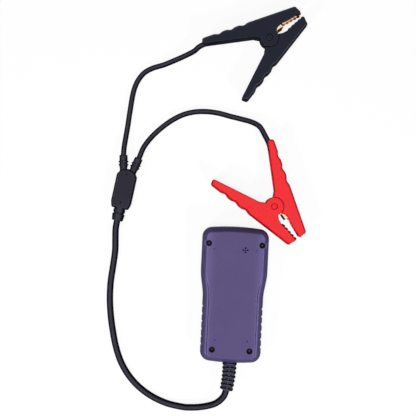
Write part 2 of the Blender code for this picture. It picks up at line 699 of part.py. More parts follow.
def make_screws():
    for number, place in enumerate(SCREW_PLACES):
        profile = [(SCREW_SHANK_R / 2, HEAD_LOW_Z - SCREW_REACH),
                   (SCREW_SHANK_R, HEAD_LOW_Z - SCREW_REACH + SCREW_SHANK_R),
                   (SCREW_SHANK_R, HEAD_LOW_Z), (SCREW_HEAD_R, HEAD_LOW_Z),
                   (SCREW_HEAD_R, HEAD_TOP_Z - SCREW_HEAD_H / 4),
                   (SCREW_HEAD_R * 3 / 4, HEAD_TOP_Z)]
        add(f"case_screw_{number + 1}", turned(bmesh.new(), place, profile, 12), DARK)
    seat = BOARD_TOP_Z + CLEAR
    for number, place in enumerate(BOARD_SCREW_PLACES):
        profile = [(BOARD_SCREW_R, BOARD_Z - BOARD_SCREW_REACH), (BOARD_SCREW_R, seat),
                   (BOARD_SCREW_HEAD_R, seat), (BOARD_SCREW_HEAD_R, seat + BOARD_SCREW_HEAD_H)]
        add(f"board_screw_{number + 1}", turned(bmesh.new(), place, profile, 10), STEEL)


# Boot and cords

WALL_INNER_Y = LOW_Y + CASE_WALL + WALL_DRAFT
FLANGE_Y = WALL_INNER_Y + CLEAR + BOOT_FLANGE_THICK
BOOT_OUT_Y = LOW_Y - CLEAR
BOOT_STEP = BOOT_RIB + BOOT_SLOT
JACKET_Y = FLANGE_Y + JACKET_INSIDE


def route(points, start_y, stretch=1.0):
    """A cord's points in the tester's frame, their y counted from start_y."""
    return [Vector((x * MM, start_y + y * MM * stretch, z * MM)) for x, y, z in points]


def main_path():
    """The whole main cord, from inside the case to inside the splitter."""
    straight = [Vector((0, y, PARTING_Z)) for y in (JACKET_Y, FLANGE_Y, LOW_Y)]
    bend = [Vector((-0.4 * MM, LOW_Y - 13 * MM, PARTING_Z))]
    low = splitter_point(0, -SPLITTER_LENGTH / 2 - RELIEF_MAIN_LENGTH)
    end = splitter_point(0, -SPLITTER_LENGTH / 2 + RELIEF_INSIDE)
    stretch = (SPLITTER_Y - LOW_Y) / MAIN_REACH
    return straight + bend + route(MAIN_ROUTE, LOW_Y, stretch) + [low, end]


def splitter_point(across, along):
    """A point of the splitter's own frame, at the height of its ports."""
    sine = math.sin(SPLITTER_TILT)
    cosine = math.cos(SPLITTER_TILT)
    return Vector((SPLITTER_X + across * cosine + along * sine,
                   SPLITTER_Y - across * sine + along * cosine, SPLITTER_THICK / 2))


def port(side, reach):
    """A point on the axis of a lead's port, reach outside the splitter's end."""
    return splitter_point(side * (PORT_OFFSET + reach * math.tan(PORT_TILT)),
                          SPLITTER_LENGTH / 2 + reach)


def clamp_point(pivot, angle, t, n, z):
    return Vector((pivot[0] + t * math.cos(angle) - n * math.sin(angle),
                   pivot[1] + t * math.sin(angle) + n * math.cos(angle), z))


def lead_path(side, points, pivot, angle):
    """A lead from inside the splitter to its lug in the clamp's handle."""
    start = [port(side, -RELIEF_INSIDE), port(side, RELIEF_LEAD_LENGTH / 2), port(side, RELIEF_LEAD_LENGTH)]
    handle = [clamp_point(pivot, angle, t * MM, n * MM, CLAMP_THICK / 2) for t, n in HANDLE_ROUTE]
    return start + route(points, TOP_Y) + handle


def make_boot():
    path = smooth_curve(main_path(), BOOT_RIB)
    behind = JACKET_Y - FLANGE_Y
    neck = behind + BOOT_FLANGE_THICK
    profile = [(behind, BOOT_FLANGE_R), (neck, BOOT_FLANGE_R), (neck, BOOT_NECK_R)]
    start = JACKET_Y - BOOT_OUT_Y
    for rib in range(BOOT_RIBS):
        radius = BOOT_TOP_R + (BOOT_END_R - BOOT_TOP_R) * rib / (BOOT_RIBS - 1)
        low = start + BOOT_STEP * rib
        waist = BOOT_NECK_R if rib == 0 else BOOT_CORE_R
        profile += [(low, waist), (low, radius), (low + BOOT_RIB, radius)]
        if rib < BOOT_RIBS - 1:
            profile.append((low + BOOT_RIB, BOOT_CORE_R))
    add("cord_boot", ringed(bmesh.new(), path, profile, CORD_R + CLEAR, 14), RUBBER)


def make_cords():
    tube("main_cord", smooth_curve(main_path(), 4 * CORD_R), CORD_R, RUBBER, 2)
    for name, side, points, pivot, angle in (
            ("black_lead", -1, BLACK_ROUTE, BLACK_PIVOT, BLACK_ANGLE),
            ("red_lead", 1, RED_ROUTE, RED_PIVOT, RED_ANGLE)):
        path = lead_path(side, points, pivot, angle)
        tube(name, smooth_curve(path, 4 * LEAD_R), LEAD_R, RUBBER, 2)
    stub = 2 * CORE_R
    for name, side, finish in (("black", -1, RUBBER), ("red", 1, RED_WIRE)):
        low_end = -SPLITTER_LENGTH / 2 + RELIEF_INSIDE + CLEAR
        core = [splitter_point(side * CORE_APART, low_end), splitter_point(side * CORE_APART, low_end + stub),
                port(side, -RELIEF_INSIDE - CLEAR - stub), port(side, -RELIEF_INSIDE - CLEAR)]
        tube("core_" + name, smooth_curve(core, 3 * CORE_R), CORE_R, finish, 1)
        start = Vector((side * CORE_APART, JACKET_Y + CLEAR, PARTING_Z))
        end = Vector((side * TERMINAL_WIDTH / 4, TERMINAL_Y - TERMINAL_DEPTH / 2 - CLEAR,
                      BOARD_TOP_Z + CLEAR + TERMINAL_H / 2))
        away = Vector((0, stub, 0))
        tube("wire_" + name, smooth_curve([start, start + away, end - away, end], 3 * CORE_R),
             CORE_R, finish, 1)


# Splitter

def splitter_outline(inset):
    """Narrower at the main cord's end, arched at the leads' end."""
    half = SPLITTER_LENGTH / 2
    low = SPLITTER_LOW_WIDTH / 2 - inset
    wide = SPLITTER_WIDTH / 2 - inset
    shoulder = half - SPLITTER_SHOULDER
    peak = half + SPLITTER_ARCH - inset
    radius = max(SPLITTER_CORNER - inset, SPLITTER_CORNER / 4)
    bend = 2 * SPLITTER_CORNER
    right = [(low, inset - half, radius), (wide, SPLITTER_WAIST - half, bend),
             (wide, shoulder - inset / 2, bend - inset),
             (wide * 0.67, shoulder + (peak - shoulder) * 0.7, bend - inset)]
    return softened(right + [(0, peak, bend)] + [(-x, y, r) for x, y, r in right[::-1]])


def main_relief_profile():
    """Distances and radii of the main cord's relief, with a flange that the shells hold."""
    neck = CORD_R + CLEAR + RELIEF_FLANGE
    out = RELIEF_INSIDE + CLEAR
    steps = ((0, RELIEF_MAIN_R), (0.3, RELIEF_MAIN_R), (0.3, RELIEF_MAIN_END_R),
             (0.42, RELIEF_MAIN_END_R), (0.42, RELIEF_MAIN_R), (0.95, RELIEF_MAIN_END_R))
    profile = [(0, neck + RELIEF_FLANGE), (RELIEF_FLANGE, neck + RELIEF_FLANGE),
               (RELIEF_FLANGE, neck), (out, neck)]
    return profile + [(out + share * RELIEF_MAIN_LENGTH, radius) for share, radius in steps]


def lead_relief_profile():
    """Distances and radii of a lead's relief, with two rings."""
    profile = [(CLEAR + RELIEF_LEAD_R * math.sin(PORT_TILT), RELIEF_LEAD_R)]
    for share in (0.43, 0.6):
        low = share * RELIEF_LEAD_LENGTH
        high = low + RELIEF_RING
        profile += [(low, RELIEF_LEAD_R), (low, RELIEF_RING_R), (high, RELIEF_RING_R), (high, RELIEF_LEAD_R)]
    return profile + [(RELIEF_LEAD_LENGTH, RELIEF_LEAD_R - CLEAR)]


MAIN_INNER = splitter_point(0, -SPLITTER_LENGTH / 2 + RELIEF_INSIDE)
MAIN_OUTER = splitter_point(0, -SPLITTER_LENGTH / 2 - RELIEF_MAIN_LENGTH)


def splitter_cavity(mesh, middle, reach):
    """The hollow of the splitter and the seats of its reliefs, up to reach from mid height."""
    hollow = RELIEF_INSIDE + OVERLAP
    half = SPLITTER_LENGTH / 2 - hollow
    wide = SPLITTER_LOW_WIDTH / 2 - SPLITTER_WALL
    prism(mesh, [(wide, -half), (wide, half), (-wide, half), (-wide, -half)],
          middle - reach, middle + reach)
    return mesh


def make_splitter():
    place = bpy.data.objects.new("splitter_place", None)
    place.location = (SPLITTER_X, SPLITTER_Y, 0)
    place.rotation_euler = (0, 0, -SPLITTER_TILT)
    bpy.context.scene.collection.objects.link(place)
    middle = SPLITTER_THICK / 2
    shells = {
        "splitter_base": ((SPLITTER_ROUND, 0), (0, SPLITTER_ROUND), (0, middle - CLEAR / 2)),
        "splitter_top": ((0, middle + CLEAR / 2), (0, SPLITTER_THICK - SPLITTER_ROUND),
                         (SPLITTER_ROUND, SPLITTER_THICK)),
    }
    for name, levels in shells.items():
        loops = [[(x, y, z) for x, y in splitter_outline(inset)] for inset, z in levels]
        shell = add(name, loft(bmesh.new(), loops), DARK, place)
        hollow = splitter_cavity(bmesh.new(), middle, middle - SPLITTER_WALL)
        boolean(shell, helper(name + "_hollow", hollow, place))
        flange = CORD_R + 2 * CLEAR + 2 * RELIEF_FLANGE
        deep = RELIEF_FLANGE + 4 * CLEAR
        seat = ((0, flange), (deep, flange), (deep, flange - RELIEF_FLANGE),
                (RELIEF_INSIDE + 6 * CLEAR, flange - RELIEF_FLANGE))
        inner = MAIN_INNER + (MAIN_INNER - MAIN_OUTER).normalized() * 2 * CLEAR
        boolean(shell, helper(name + "_main_seat", solid_round(bmesh.new(), inner, MAIN_OUTER, seat)))
        for side in (-1, 1):
            inner = port(side, -RELIEF_INSIDE - 4 * CLEAR)
            shelf = (port(side, 0) - inner).length + RELIEF_LEAD_R * math.sin(PORT_TILT)
            hole = ((0, LEAD_R + CLEAR), (shelf, LEAD_R + CLEAR), (shelf, RELIEF_LEAD_R + CLEAR),
                    (shelf + 2 * SPLITTER_ARCH, RELIEF_LEAD_R + CLEAR))
            passage = solid_round(bmesh.new(), inner, port(side, RELIEF_LEAD_LENGTH), hole)
            boolean(shell, helper(f"{name}_lead_hole_{side}", passage))
    main_relief = ringed(bmesh.new(), [MAIN_INNER, MAIN_OUTER], main_relief_profile(), CORD_R + CLEAR, 14)
    add("relief_main", main_relief, RUBBER)
    for name, side in (("relief_black", -1), ("relief_red", 1)):
        path = [port(side, 0), port(side, RELIEF_LEAD_LENGTH)]
        add(name, ringed(bmesh.new(), path, lead_relief_profile(), LEAD_R + CLEAR, 14), RUBBER)


def solid_round(mesh, start, end, profile, steps=14):
    """A solid round cutter from start towards end, from (distance, radius) pairs."""
    along = (end - start).normalized()
    side = along.cross(Vector((0, 0, 1))).normalized()
    up = side.cross(along)
    return loft(mesh, [[start + along * d + r * (side * math.cos(a) + up * math.sin(a))
                        for a in (2 * math.pi * i / steps for i in range(steps))] for d, r in profile])


# Clamps

PLATE_TOP = CLAMP_THICK - CLAMP_PLATE
INNER_EAR = CLAMP_PLATE + CLEAR
INNER_EAR_END = INNER_EAR + CLAMP_PLATE


def finger_depth(t):
    """Depth of the finger waves on a handle's outer edge."""
    for number in range(FINGER_COUNT):
        off = abs(t - FINGER_FIRST_T + FINGER_PITCH * number)
        if off < FINGER_HALF:
            return FINGER_DEPTH * 0.5 * (1 + math.cos(math.pi * off / FINGER_HALF))
    return 0.0


def outer_edge(inset):
    """Outer edge of a lever from its tip to its heel, drawn in by inset."""
    tip = Vector((TIP_T, TIP_OUTER_N))
    heel = Vector((HEEL_OUTER_T, HEEL_OUTER_N))
    along = (heel - tip).normalized()
    inward = Vector((-along.y, along.x))
    shares = [0.0, 0.25]
    for number in range(FINGER_COUNT):
        centre = FINGER_FIRST_T - FINGER_PITCH * number
        for part in (1.0, 0.5, 0.0, -0.5, -1.0):
            shares.append((centre + part * FINGER_HALF - TIP_T) / (HEEL_OUTER_T - TIP_T))
    shares.append(1.0)
    edge = []
    for share in shares:
        point = tip.lerp(heel, share)
        edge.append(point + inward * (inset + finger_depth(point.x)))
    return edge


def lever_outline():
    """Outline of a lever in the clamp's plane, the pivot at the origin, tip towards +x."""
    edge = outer_edge(0)
    corners = [(TIP_T, TIP_INNER_N, HEEL_ROUND / 3), (edge[0].x, edge[0].y, HEEL_ROUND * 0.8)]
    corners += [(p.x, p.y, 0) for p in edge[1:-1]]
    corners += [(edge[-1].x, edge[-1].y, HEEL_ROUND), (HEEL_INNER_T, HEEL_INNER_N, HEEL_ROUND * 0.8)]
    corners.append((NECK_T, NECK_N, 0))
    start = math.radians(150)
    stop = math.radians(372)
    for i in range(13):
        angle = start + (stop - start) * i / 12
        corners.append((EAR_R * math.cos(angle), EAR_R * math.sin(angle), 0))
    third = (TIP_T - THROAT_T) / 3
    drop = (THROAT_N - TIP_INNER_N) * 0.55
    corners += [(THROAT_T - third * 0.7, THROAT_N * 0.85, 0), (THROAT_T, THROAT_N, 0),
                (THROAT_T + third, THROAT_N - drop, 0)]
    return softened(corners)


def pocket_outline(inset, low_t, high_t):
    """The hollow between a lever's plates from low_t to high_t, open on its inner side."""
    far = 2 * EAR_R
    edge = outer_edge(inset)
    beyond = edge[0] + (edge[0] - edge[1])
    line = [beyond] + edge
    points = []
    for a, b in zip(line, line[1:]):
        for limit in (high_t, low_t):
            if b.x < limit < a.x:
                points.append(tuple(a.lerp(b, (a.x - limit) / (a.x - b.x))))
        if low_t < b.x < high_t:
            points.append((b.x, b.y))
    low_n = HEEL_INNER_N * 0.4 if low_t < NECK_T * 2 else -far
    points.append((points[-1][0], low_n))
    if low_n > 0:
        points.append((NECK_T, -far))
    points.append((points[0][0], -far))
    return points


HEEL_POCKET_T = HEEL_OUTER_T + CLAMP_BACK
TIP_POCKET_T = TIP_T + CLAMP_BACK
CHEEK_T = EAR_R + EAR_GAP + CLEAR


def lever(name, side, ears_outside, finish, parent):
    """One moulded lever: two plates, a back wall and two ears for the pin."""
    def placed(mesh):
        if side < 0:
            turn = Matrix.Translation((0, 0, CLAMP_THICK)) @ Matrix.Rotation(math.pi, 4, "X")
            bmesh.ops.transform(mesh, matrix=turn, verts=mesh.verts)
        return mesh

    def cut(label, mesh):
        boolean(piece, helper(f"{name}_{label}", placed(mesh), parent))

    piece = add(name, placed(prism(bmesh.new(), lever_outline(), 0, CLAMP_THICK)), finish, parent)
    if ears_outside:
        cut("hollow", prism(bmesh.new(), pocket_outline(CLAMP_BACK, HEEL_POCKET_T, TIP_POCKET_T),
                            CLAMP_PLATE, PLATE_TOP))
    else:
        between = pocket_outline(CLAMP_BACK + CLEAR, -CHEEK_T - CLEAR, CHEEK_T + CLEAR)
        cut("cheeks", prism(bmesh.new(), between, INNER_EAR_END, CLAMP_THICK - INNER_EAR_END))
        cut("handle_hollow", prism(bmesh.new(), pocket_outline(CLAMP_BACK, HEEL_POCKET_T, -CHEEK_T),
                                   CLAMP_PLATE, PLATE_TOP))
        cut("jaw_hollow", prism(bmesh.new(), pocket_outline(CLAMP_BACK, CHEEK_T, TIP_POCKET_T),
                                CLAMP_PLATE, PLATE_TOP))
        recess = bmesh.new()
        for low, high in ((-OVERLAP, INNER_EAR), (CLAMP_THICK - INNER_EAR, CLAMP_THICK + OVERLAP)):
            prism(recess, circle((0, 0), EAR_R + EAR_GAP, 32), low, high)
        cut("ear_recess", recess)
    holes = bmesh.new()
    seat = PIN_SUNK + PIN_HEAD_H + CLEAR
    wide = PIN_HEAD_R + CLEAR if ears_outside else PIN_R + CLEAR
    turned(holes, (0, 0), [(wide, -OVERLAP), (wide, seat), (PIN_R + CLEAR, seat),
                           (PIN_R + CLEAR, CLAMP_THICK - seat), (wide, CLAMP_THICK - seat),
                           (wide, CLAMP_THICK + OVERLAP)])
    cut("pin_hole", holes)
    slot_low = CLAMP_THICK / 2 - CORD_SLOT / 2
    cut("cord_slot", prism(bmesh.new(), [
        (HEEL_INNER_T * 1.1, HEEL_INNER_N * 0.8), (HEEL_POCKET_T * 0.96, HEEL_INNER_N * 0.8),
        (HEEL_POCKET_T * 0.96, HEEL_INNER_N + CORD_SLOT / 2),
        (HEEL_INNER_T * 1.1, HEEL_INNER_N + CORD_SLOT / 2)], slot_low, slot_low + CORD_SLOT))
    return piece


def jaw_outline(side):
    """A toothed copper jaw seen in the clamp's plane, with a tab by the pin on the cord's side."""
    end = TIP_T - CLEAR
    points = [(end, JAW_BACK_N), (JAW_START_T, JAW_BACK_N)]
    if side > 0:
        points += [(JAW_START_T, JAW_TAB_N), (JAW_TAB_T, JAW_TAB_N), (JAW_TAB_T, JAW_NOTCH_N)]
    else:
        points.append((JAW_START_T, JAW_NOTCH_N))
    points.append((JAW_NOTCH_T, JAW_NOTCH_N))
    pitch = (end - JAW_NOTCH_T) / TOOTH_COUNT
    for number in range(TOOTH_COUNT):
        share = number / TOOTH_COUNT
        root = TOOTH_FIRST_N + (TOOTH_LAST_N - TOOTH_FIRST_N) * share
        at = JAW_NOTCH_T + pitch * number
        points += [(at, root), (at + pitch * 0.55, root - TOOTH_HIGH), (at + pitch * 0.85, root - TOOTH_HIGH)]
    points.append((end, TOOTH_LAST_N))
    return points


def jaw(name, side, parent):
    low = CLAMP_PLATE + CLEAR
    mesh = prism(bmesh.new(), jaw_outline(side), low, CLAMP_THICK - low)
    inner = JAW_BACK_N - JAW_SHEET
    hollow = prism(bmesh.new(), [(JAW_START_T - OVERLAP, inner), (JAW_START_T - OVERLAP, -EAR_R),
                                 (TIP_T + OVERLAP, -EAR_R), (TIP_T + OVERLAP, inner)],
                   low + JAW_SHEET, CLAMP_THICK - low - JAW_SHEET)
    if side < 0:
        turn = Matrix.Translation((0, 0, CLAMP_THICK)) @ Matrix.Rotation(math.pi, 4, "X")
        for shape in (mesh, hollow):
            bmesh.ops.transform(shape, matrix=turn, verts=shape.verts)
    piece = add(name, mesh, COPPER, parent)
    boolean(piece, helper(name + "_hollow", hollow, parent))


def spring_points():
    """A torsion spring about the pin, with a leg along the inside of each handle."""
    low = INNER_EAR_END + CLEAR + SPRING_WIRE_R
    high = CLAMP_THICK - low
    share = (SPRING_LEG_T - HEEL_OUTER_T) / (TIP_T - HEEL_OUTER_T)
    leg_n = HEEL_OUTER_N + (TIP_OUTER_N - HEEL_OUTER_N) * share
    leg_n -= FINGER_DEPTH + CLAMP_BACK + SPRING_WIRE_R + 2 * CLEAR
    away = math.hypot(SPRING_LEG_T, leg_n)
    tangent = math.atan2(leg_n, SPRING_LEG_T) - math.acos(SPRING_R / away)
    start = tangent
    stop = -tangent + 2 * math.pi * SPRING_TURNS
    count = SPRING_TURNS * SPRING_STEPS
    points = [Vector((SPRING_LEG_T, leg_n, low))]
    for i in range(count + 1):
        angle = start + (stop - start) * i / count
        points.append(Vector((SPRING_R * math.cos(angle), SPRING_R * math.sin(angle),
                              low + (high - low) * i / count)))
    points.append(Vector((SPRING_LEG_T, -leg_n, high)))
    return points


def lug(name, parent):
    """Crimp lug: a round barrel that flattens into a tongue behind the jaw."""
    middle = CLAMP_THICK / 2
    last_t, last_n = HANDLE_ROUTE[-1]
    lead_end = Vector((last_t * MM, last_n * MM))
    into = (lead_end - Vector(HANDLE_ROUTE[-2]) * MM).normalized()
    tongue_n = JAW_BACK_N + CLEAR + LUG_FLAT / 2
    stations = [
        (lead_end + into * CLEAR, LUG_R, LUG_R),
        (lead_end + into * 3 * LUG_R, LUG_R, LUG_R),
        (Vector((JAW_START_T - LUG_R, tongue_n + 2 * CLEAR)), LUG_FLAT, LUG_R),
        (Vector((JAW_START_T, tongue_n)), LUG_FLAT / 2, LUG_R),
        (Vector((JAW_START_T + 2 * LUG_R, tongue_n)), LUG_FLAT / 2, LUG_R),
    ]
    loops = []
    for k, (centre, flat, tall) in enumerate(stations):
        before = stations[max(k - 1, 0)][0]
        after = stations[min(k + 1, len(stations) - 1)][0]
        along = (after - before).normalized()
        across = Vector((-along.y, along.x))
        loops.append([(centre.x + across.x * flat * math.cos(a), centre.y + across.y * flat * math.cos(a),
                       middle + tall * math.sin(a)) for a in (2 * math.pi * i / 12 for i in range(12))])
    add(name, loft(bmesh.new(), loops), COPPER, parent)


def make_clamp(colour, pivot, angle, cord_ears_outside, finish):
    axis = bpy.data.objects.new(colour + "_pivot", None)
    axis.location = (*pivot, 0)
    axis.rotation_euler = (0, 0, angle)
    bpy.context.scene.collection.objects.link(axis)
    lever(colour + "_cord_lever", 1, cord_ears_outside, finish, axis)
    lever(colour + "_free_lever", -1, not cord_ears_outside, finish, axis)
    jaw(colour + "_cord_jaw", 1, axis)
    jaw(colour + "_free_jaw", -1, axis)
    low = PIN_SUNK
    high = CLAMP_THICK - PIN_SUNK
    profile = [(PIN_HEAD_R, low), (PIN_HEAD_R, low + PIN_HEAD_H), (PIN_R, low + PIN_HEAD_H),
               (PIN_R, high - PIN_HEAD_H), (PIN_HEAD_R, high - PIN_HEAD_H), (PIN_HEAD_R, high)]
    add(colour + "_pivot_pin", turned(bmesh.new(), (0, 0), profile), finish, axis)
    tube(colour + "_spring", spring_points(), SPRING_WIRE_R, STEEL, 1, axis)
    lug(colour + "_lug", axis)


make_rear_cover()
make_front_cover()
make_face()
make_board()
make_screws()
make_boot()
make_cords()
make_splitter()
make_clamp("black", BLACK_PIVOT, BLACK_ANGLE, True, BLACK_CLAMP)
make_clamp("red", RED_PIVOT, RED_ANGLE, False, RED_CLAMP)
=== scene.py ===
"""Looks of the battery tester with its Y-lead and two spring clamps, lying face down.

Lengths are in mm in the tester's own frame and become metres when a piece is made.
"""

import math

import bmesh
import bpy
from mathutils import Matrix, Vector


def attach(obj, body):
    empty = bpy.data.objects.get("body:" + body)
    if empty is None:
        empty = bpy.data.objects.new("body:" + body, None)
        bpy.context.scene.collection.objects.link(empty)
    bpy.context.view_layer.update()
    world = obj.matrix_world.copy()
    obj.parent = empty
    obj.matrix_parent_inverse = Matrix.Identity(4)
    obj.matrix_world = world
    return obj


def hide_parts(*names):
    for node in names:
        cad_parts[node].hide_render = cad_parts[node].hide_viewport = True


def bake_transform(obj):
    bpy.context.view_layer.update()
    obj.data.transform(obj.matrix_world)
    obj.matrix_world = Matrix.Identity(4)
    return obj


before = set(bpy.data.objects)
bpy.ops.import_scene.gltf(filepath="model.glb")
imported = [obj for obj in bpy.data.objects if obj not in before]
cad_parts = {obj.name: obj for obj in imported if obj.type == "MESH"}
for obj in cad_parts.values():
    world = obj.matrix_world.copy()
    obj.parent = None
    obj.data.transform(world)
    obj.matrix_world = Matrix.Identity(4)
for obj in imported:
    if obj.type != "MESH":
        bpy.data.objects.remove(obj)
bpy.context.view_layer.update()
MM = 0.001
CUT = 0.6  # by which a cut passes the face it opens

# Case
CASE_LENGTH = 125.0
TOP_Y = CASE_LENGTH / 2
LOW_Y = -CASE_LENGTH / 2
CASE_THICK = 25.0
PARTING_Z = 12.0
UPPER_HALF = 30.7
LOWER_HALF = 27.9
TAPER_TOP_Y = 22.0
TAPER_LOW_Y = -3.0
CORNER_R = 9.0
END_ARCH_R = 205.0
GROOVE_YS = [-12.0 - 7.0 * i for i in range(6)]
GROOVE_HALF = 1.8
GROOVE_DEPTH = 0.8
GROOVE_FADE = 2.6
RING_STEP = 0.45  # between the points along the case's sides
SECTION_STEP = 0.05
SIDE_FADE = (0.45, 0.5)  # how far a corner turns before the grip's own section sets in
SCREW_PLACES = [(-24.3, 46.7), (24.3, 46.7), (-17.1, -49.9), (17.1, -49.9)]
SCREW_HOLE_R = 2.65
SCREW_POST_R = 4.4
SCREW_TOP_Z = 23.0
CROSS_HALF = (1.5, 0.3)  # half length and half width of the screws' slots
CROSS_TAPER = 0.6
CROSS_FLOOR_Z = 21.9
CROSS_TURN = (0.35, 0.5)  # of the first screw and from one to the next
SINK_MARKS = [(-19.4, 41.8), (19.4, 41.8), (-14.7, -40.9), (14.7, -40.9)]
VENT = (9.1, 41.8)
VENT_STEP = 1.95
VENT_R = (0.6, 0.78)  # middle hole and the four round it
NECK_R = 5.2

# Face
PANEL_FLOOR_Z = 2.0
DISPLAY = (0, 27.0)
DISPLAY_SIZE = (47.0, 38.0)
WINDOW_SIZE = (35.0, 27.0)
KEYPAD = (0, -29.0)
KEYPAD_SIZE = (41.0, 41.0)
KEY_PLACES = {"key_up": (0, -17), "key_down": (0, -41), "key_back": (-12.8, -29), "key_enter": (12.8, -29)}
KEY_SIZE = (11.0, 8.6)
KEY_ROUND = 2.4
KEY_GAP = 0.3
LINE_Z = 0.98
BORDER_Z = 1.04
SHEET_Z = 1.09  # where the prints end in the sheet above them
LINE_WIDTH = 0.4

# Cords
CORD_R = 3.05
LEAD_R = 2.5
CORD_STEP = 1.6
LEAD_STEP = 1.4
SPLITTER = (-105.9, 90.1)
SPLITTER_TILT = math.radians(9.7)
SPLITTER_LENGTH = 32.6
SPLITTER_THICK = 12.0
PORT_OFFSET = 3.65
PORT_TILT = math.radians(12.35)
RELIEF_MAIN_LENGTH = 11.6
RELIEF_LEAD_LENGTH = 17.2
RELIEF_INSIDE = 3.2
MAIN_ROUTE = [
    (-0.4, LOW_Y - 13, PARTING_Z),
    (-2.5, -90.5, 11.3), (-5.8, -97.2, 9.9), (-11.6, -102.2, 8.0), (-19.0, -105.2, 6.0),
    (-27.0, -107.0, 4.6), (-34.5, -107.8, 3.65), (-42.0, -107.7, 3.2), (-56.5, -105.0, 3.15),
    (-70.4, -99.4, 3.15), (-82.9, -91.2, 3.15), (-93.3, -80.6, 3.15), (-101.2, -68.0, 3.15),
    (-106.5, -54.0, 3.15), (-110.0, -39.5, 3.15), (-112.6, -25.0, 3.15), (-114.1, -10.0, 3.15),
    (-114.1, 5.0, 3.15), (-112.6, 20.0, 3.15), (-111.3, 34.5, 3.35), (-111.5, 46.0, 4.4),
    (-111.6, 55.0, 5.3),
]
BLACK_ROUTE = [
    (-107.3, 132.0, 5.2), (-106.3, 141.5, 3.85), (-105.2, 151.0, 2.85), (-103.9, 164.0, 2.6),
    (-102.2, 178.5, 2.6), (-100.5, 187.0, 2.6), (-97.4, 194.6, 2.6), (-92.2, 201.5, 2.6),
    (-84.6, 206.2, 2.6), (-74.5, 209.8, 2.75), (-64.3, 214.3, 3.85), (-54.2, 219.1, 5.6),
    (-46.5, 223.3, 7.4),
]
RED_ROUTE = [
    (-89.6, 131.2, 5.2), (-85.0, 138.7, 3.85), (-79.2, 145.7, 2.85), (-71.5, 153.0, 2.6),
    (-63.0, 159.4, 2.6), (-53.5, 164.5, 2.6), (-43.2, 167.4, 2.6), (-32.0, 168.2, 2.6),
    (-20.8, 167.2, 2.6), (-9.9, 164.8, 2.75), (1.0, 162.5, 3.85), (10.0, 160.2, 5.6),
    (17.6, 156.0, 7.4),
]
HANDLE_ROUTE = [(-57.0, 31.6), (-51.0, 30.6), (-44.0, 28.2), (-35.0, 24.9), (-25.0, 20.8),
                (-16.0, 16.4), (-8.0, 12.8)]

# Clamps
CLAMP_THICK = 18.0
CLAMP_PLATE = 2.0
CLAMP_BACK = 2.2
CLAMP_EDGE = (1.0, 0.9)  # rounding of the levers' edges, width and height
CLAMP_FLARE = (2.1, 5.6)  # along the outer side, which leans out towards mid height
PIVOTS = {"black": ((22.1, 237.5), math.radians(38.2)), "red": ((34.0, 82.8), math.radians(-51.5))}
TIP_T = 36.8
TIP_INNER_N = 2.0
TIP_OUTER_N = 10.2
HEEL_OUTER = (-50.5, 36.0)
HEEL_INNER = (-53.7, 30.8)
HEEL_ROUND = 2.2
NECK = (-11.5, 8.6)
FINGER_TS = [-12.0 - 11.6 * i for i in range(3)]
FINGER_HALF = 4.6
FINGER_DEPTH = 1.2
THROAT = (16.8, 4.3)
EAR_R = 8.6
EAR_ARC = (math.radians(150), math.radians(372))
PIN_R = 2.2
PIN_HEAD_R = 2.5
PIN_RING_R = 3.25
PIN_RING_DEPTH = 3.4
CLEAR = 0.3
JAW_REACH = {"black": (0.9, 0.0), "red": (-0.6, 0.9)}  # of the cord's and the free jaw
JAW_TABS = (10.0, 15.6, 17.0)  # start and end of the contact tab, start of the teeth
JAW_BACK = 6.6
JAW_SIDE = 5.0
JAW_PLATE = 1.0
JAW_TEETH = 5
JAW_TOOTH = 1.3
JAW_ROOT = (4.4, 0.4)  # of the first tooth and from one to the next
# length of the cord jaw's tips darkened as painted shade
JAW_SHADED_TIP = 5.0
TAB_FLAT = 1.5
TAB_BEND = [(1.7, 0), (TAB_FLAT, 0), (0.9, 0.12), (0.45, 0.5), (0.2, 1.2), (0.2, 3.0), (0.9, 3.0),
            (0.9, 1.5), (1.2, 1.08), (1.7, 1.0)]
CHEEK = 0.8
LEAD_SLOT = (6.1, 11.9)  # heights between which the lead passes the heel
SPRING_WIRE_R = 0.65
SPRING_R = 4.6
SPRING_LEG_T = -21.0
SPRING_TURNS = 4
SPRING_STEPS = 128
SPRING_ENDS = (5.5, 12.5)  # heights between which the spring winds up


# Finishes

GRAIN_SHARE = 0.35
GRAIN_SPREAD = 0.2
GLOSS_SPREAD = 0.07
NOISE_RANGE = (0.3, 0.7)
BUMP_STRENGTH = 0.6
PAINTED_HIGHLIGHT = (1.7, 0.045)  # factor and lift of the painted highlight's colour
# how far a slope faces left or right where the case's painted highlight sets in
SIDEWAYS = (0.06, 0.26)
# Painted light: a soft lighter band over the case's shoulders, its place, share and factor
SHOULDER = (16.5, 25.0)  # from the case's middle line
SHOULDER_SHARE = 0.75
PAINTED_SHOULDER_LIGHT = 1.42


def linear(colour):
    return [((c / 255 + 0.055) / 1.055) ** 2.4 if c > 10 else c / 255 / 12.92 for c in colour]


def feed(tree, node, values):
    """Gives a node's inputs numbers, colours as lists, or the outputs of other nodes."""
    for key, value in values.items():
        if isinstance(value, bpy.types.NodeSocket):
            tree.links.new(value, node.inputs[key])
        else:
            node.inputs[key].default_value = (*value, 1.0) if isinstance(value, list) else value


def added(tree, kind, values, output, **settings):
    """Output of a new node."""
    node = tree.nodes.new("ShaderNode" + kind)
    for name, value in settings.items():
        setattr(node, name, value)
    feed(tree, node, values)
    return node.outputs[output]


def computed(tree, operation, *sources):
    return added(tree, "Math", dict(enumerate(sources)), 0, operation=operation)


def ranged(tree, source, start, stop, low=0.0, high=1.0, kind="LINEAR"):
    values = {"Value": source, "From Min": start, "From Max": stop, "To Min": low, "To Max": high}
    return added(tree, "MapRange", values, "Result", interpolation_type=kind)


def mixed(tree, share, first, second):
    return added(tree, "Mix", {"Factor": share, "A": first, "B": second}, "Result", data_type="RGBA")


def along_axis(tree, source, axis):
    """A vector's measure along an axis, without its sign."""
    return computed(tree, "ABSOLUTE", added(tree, "SeparateXYZ", {0: source}, axis))


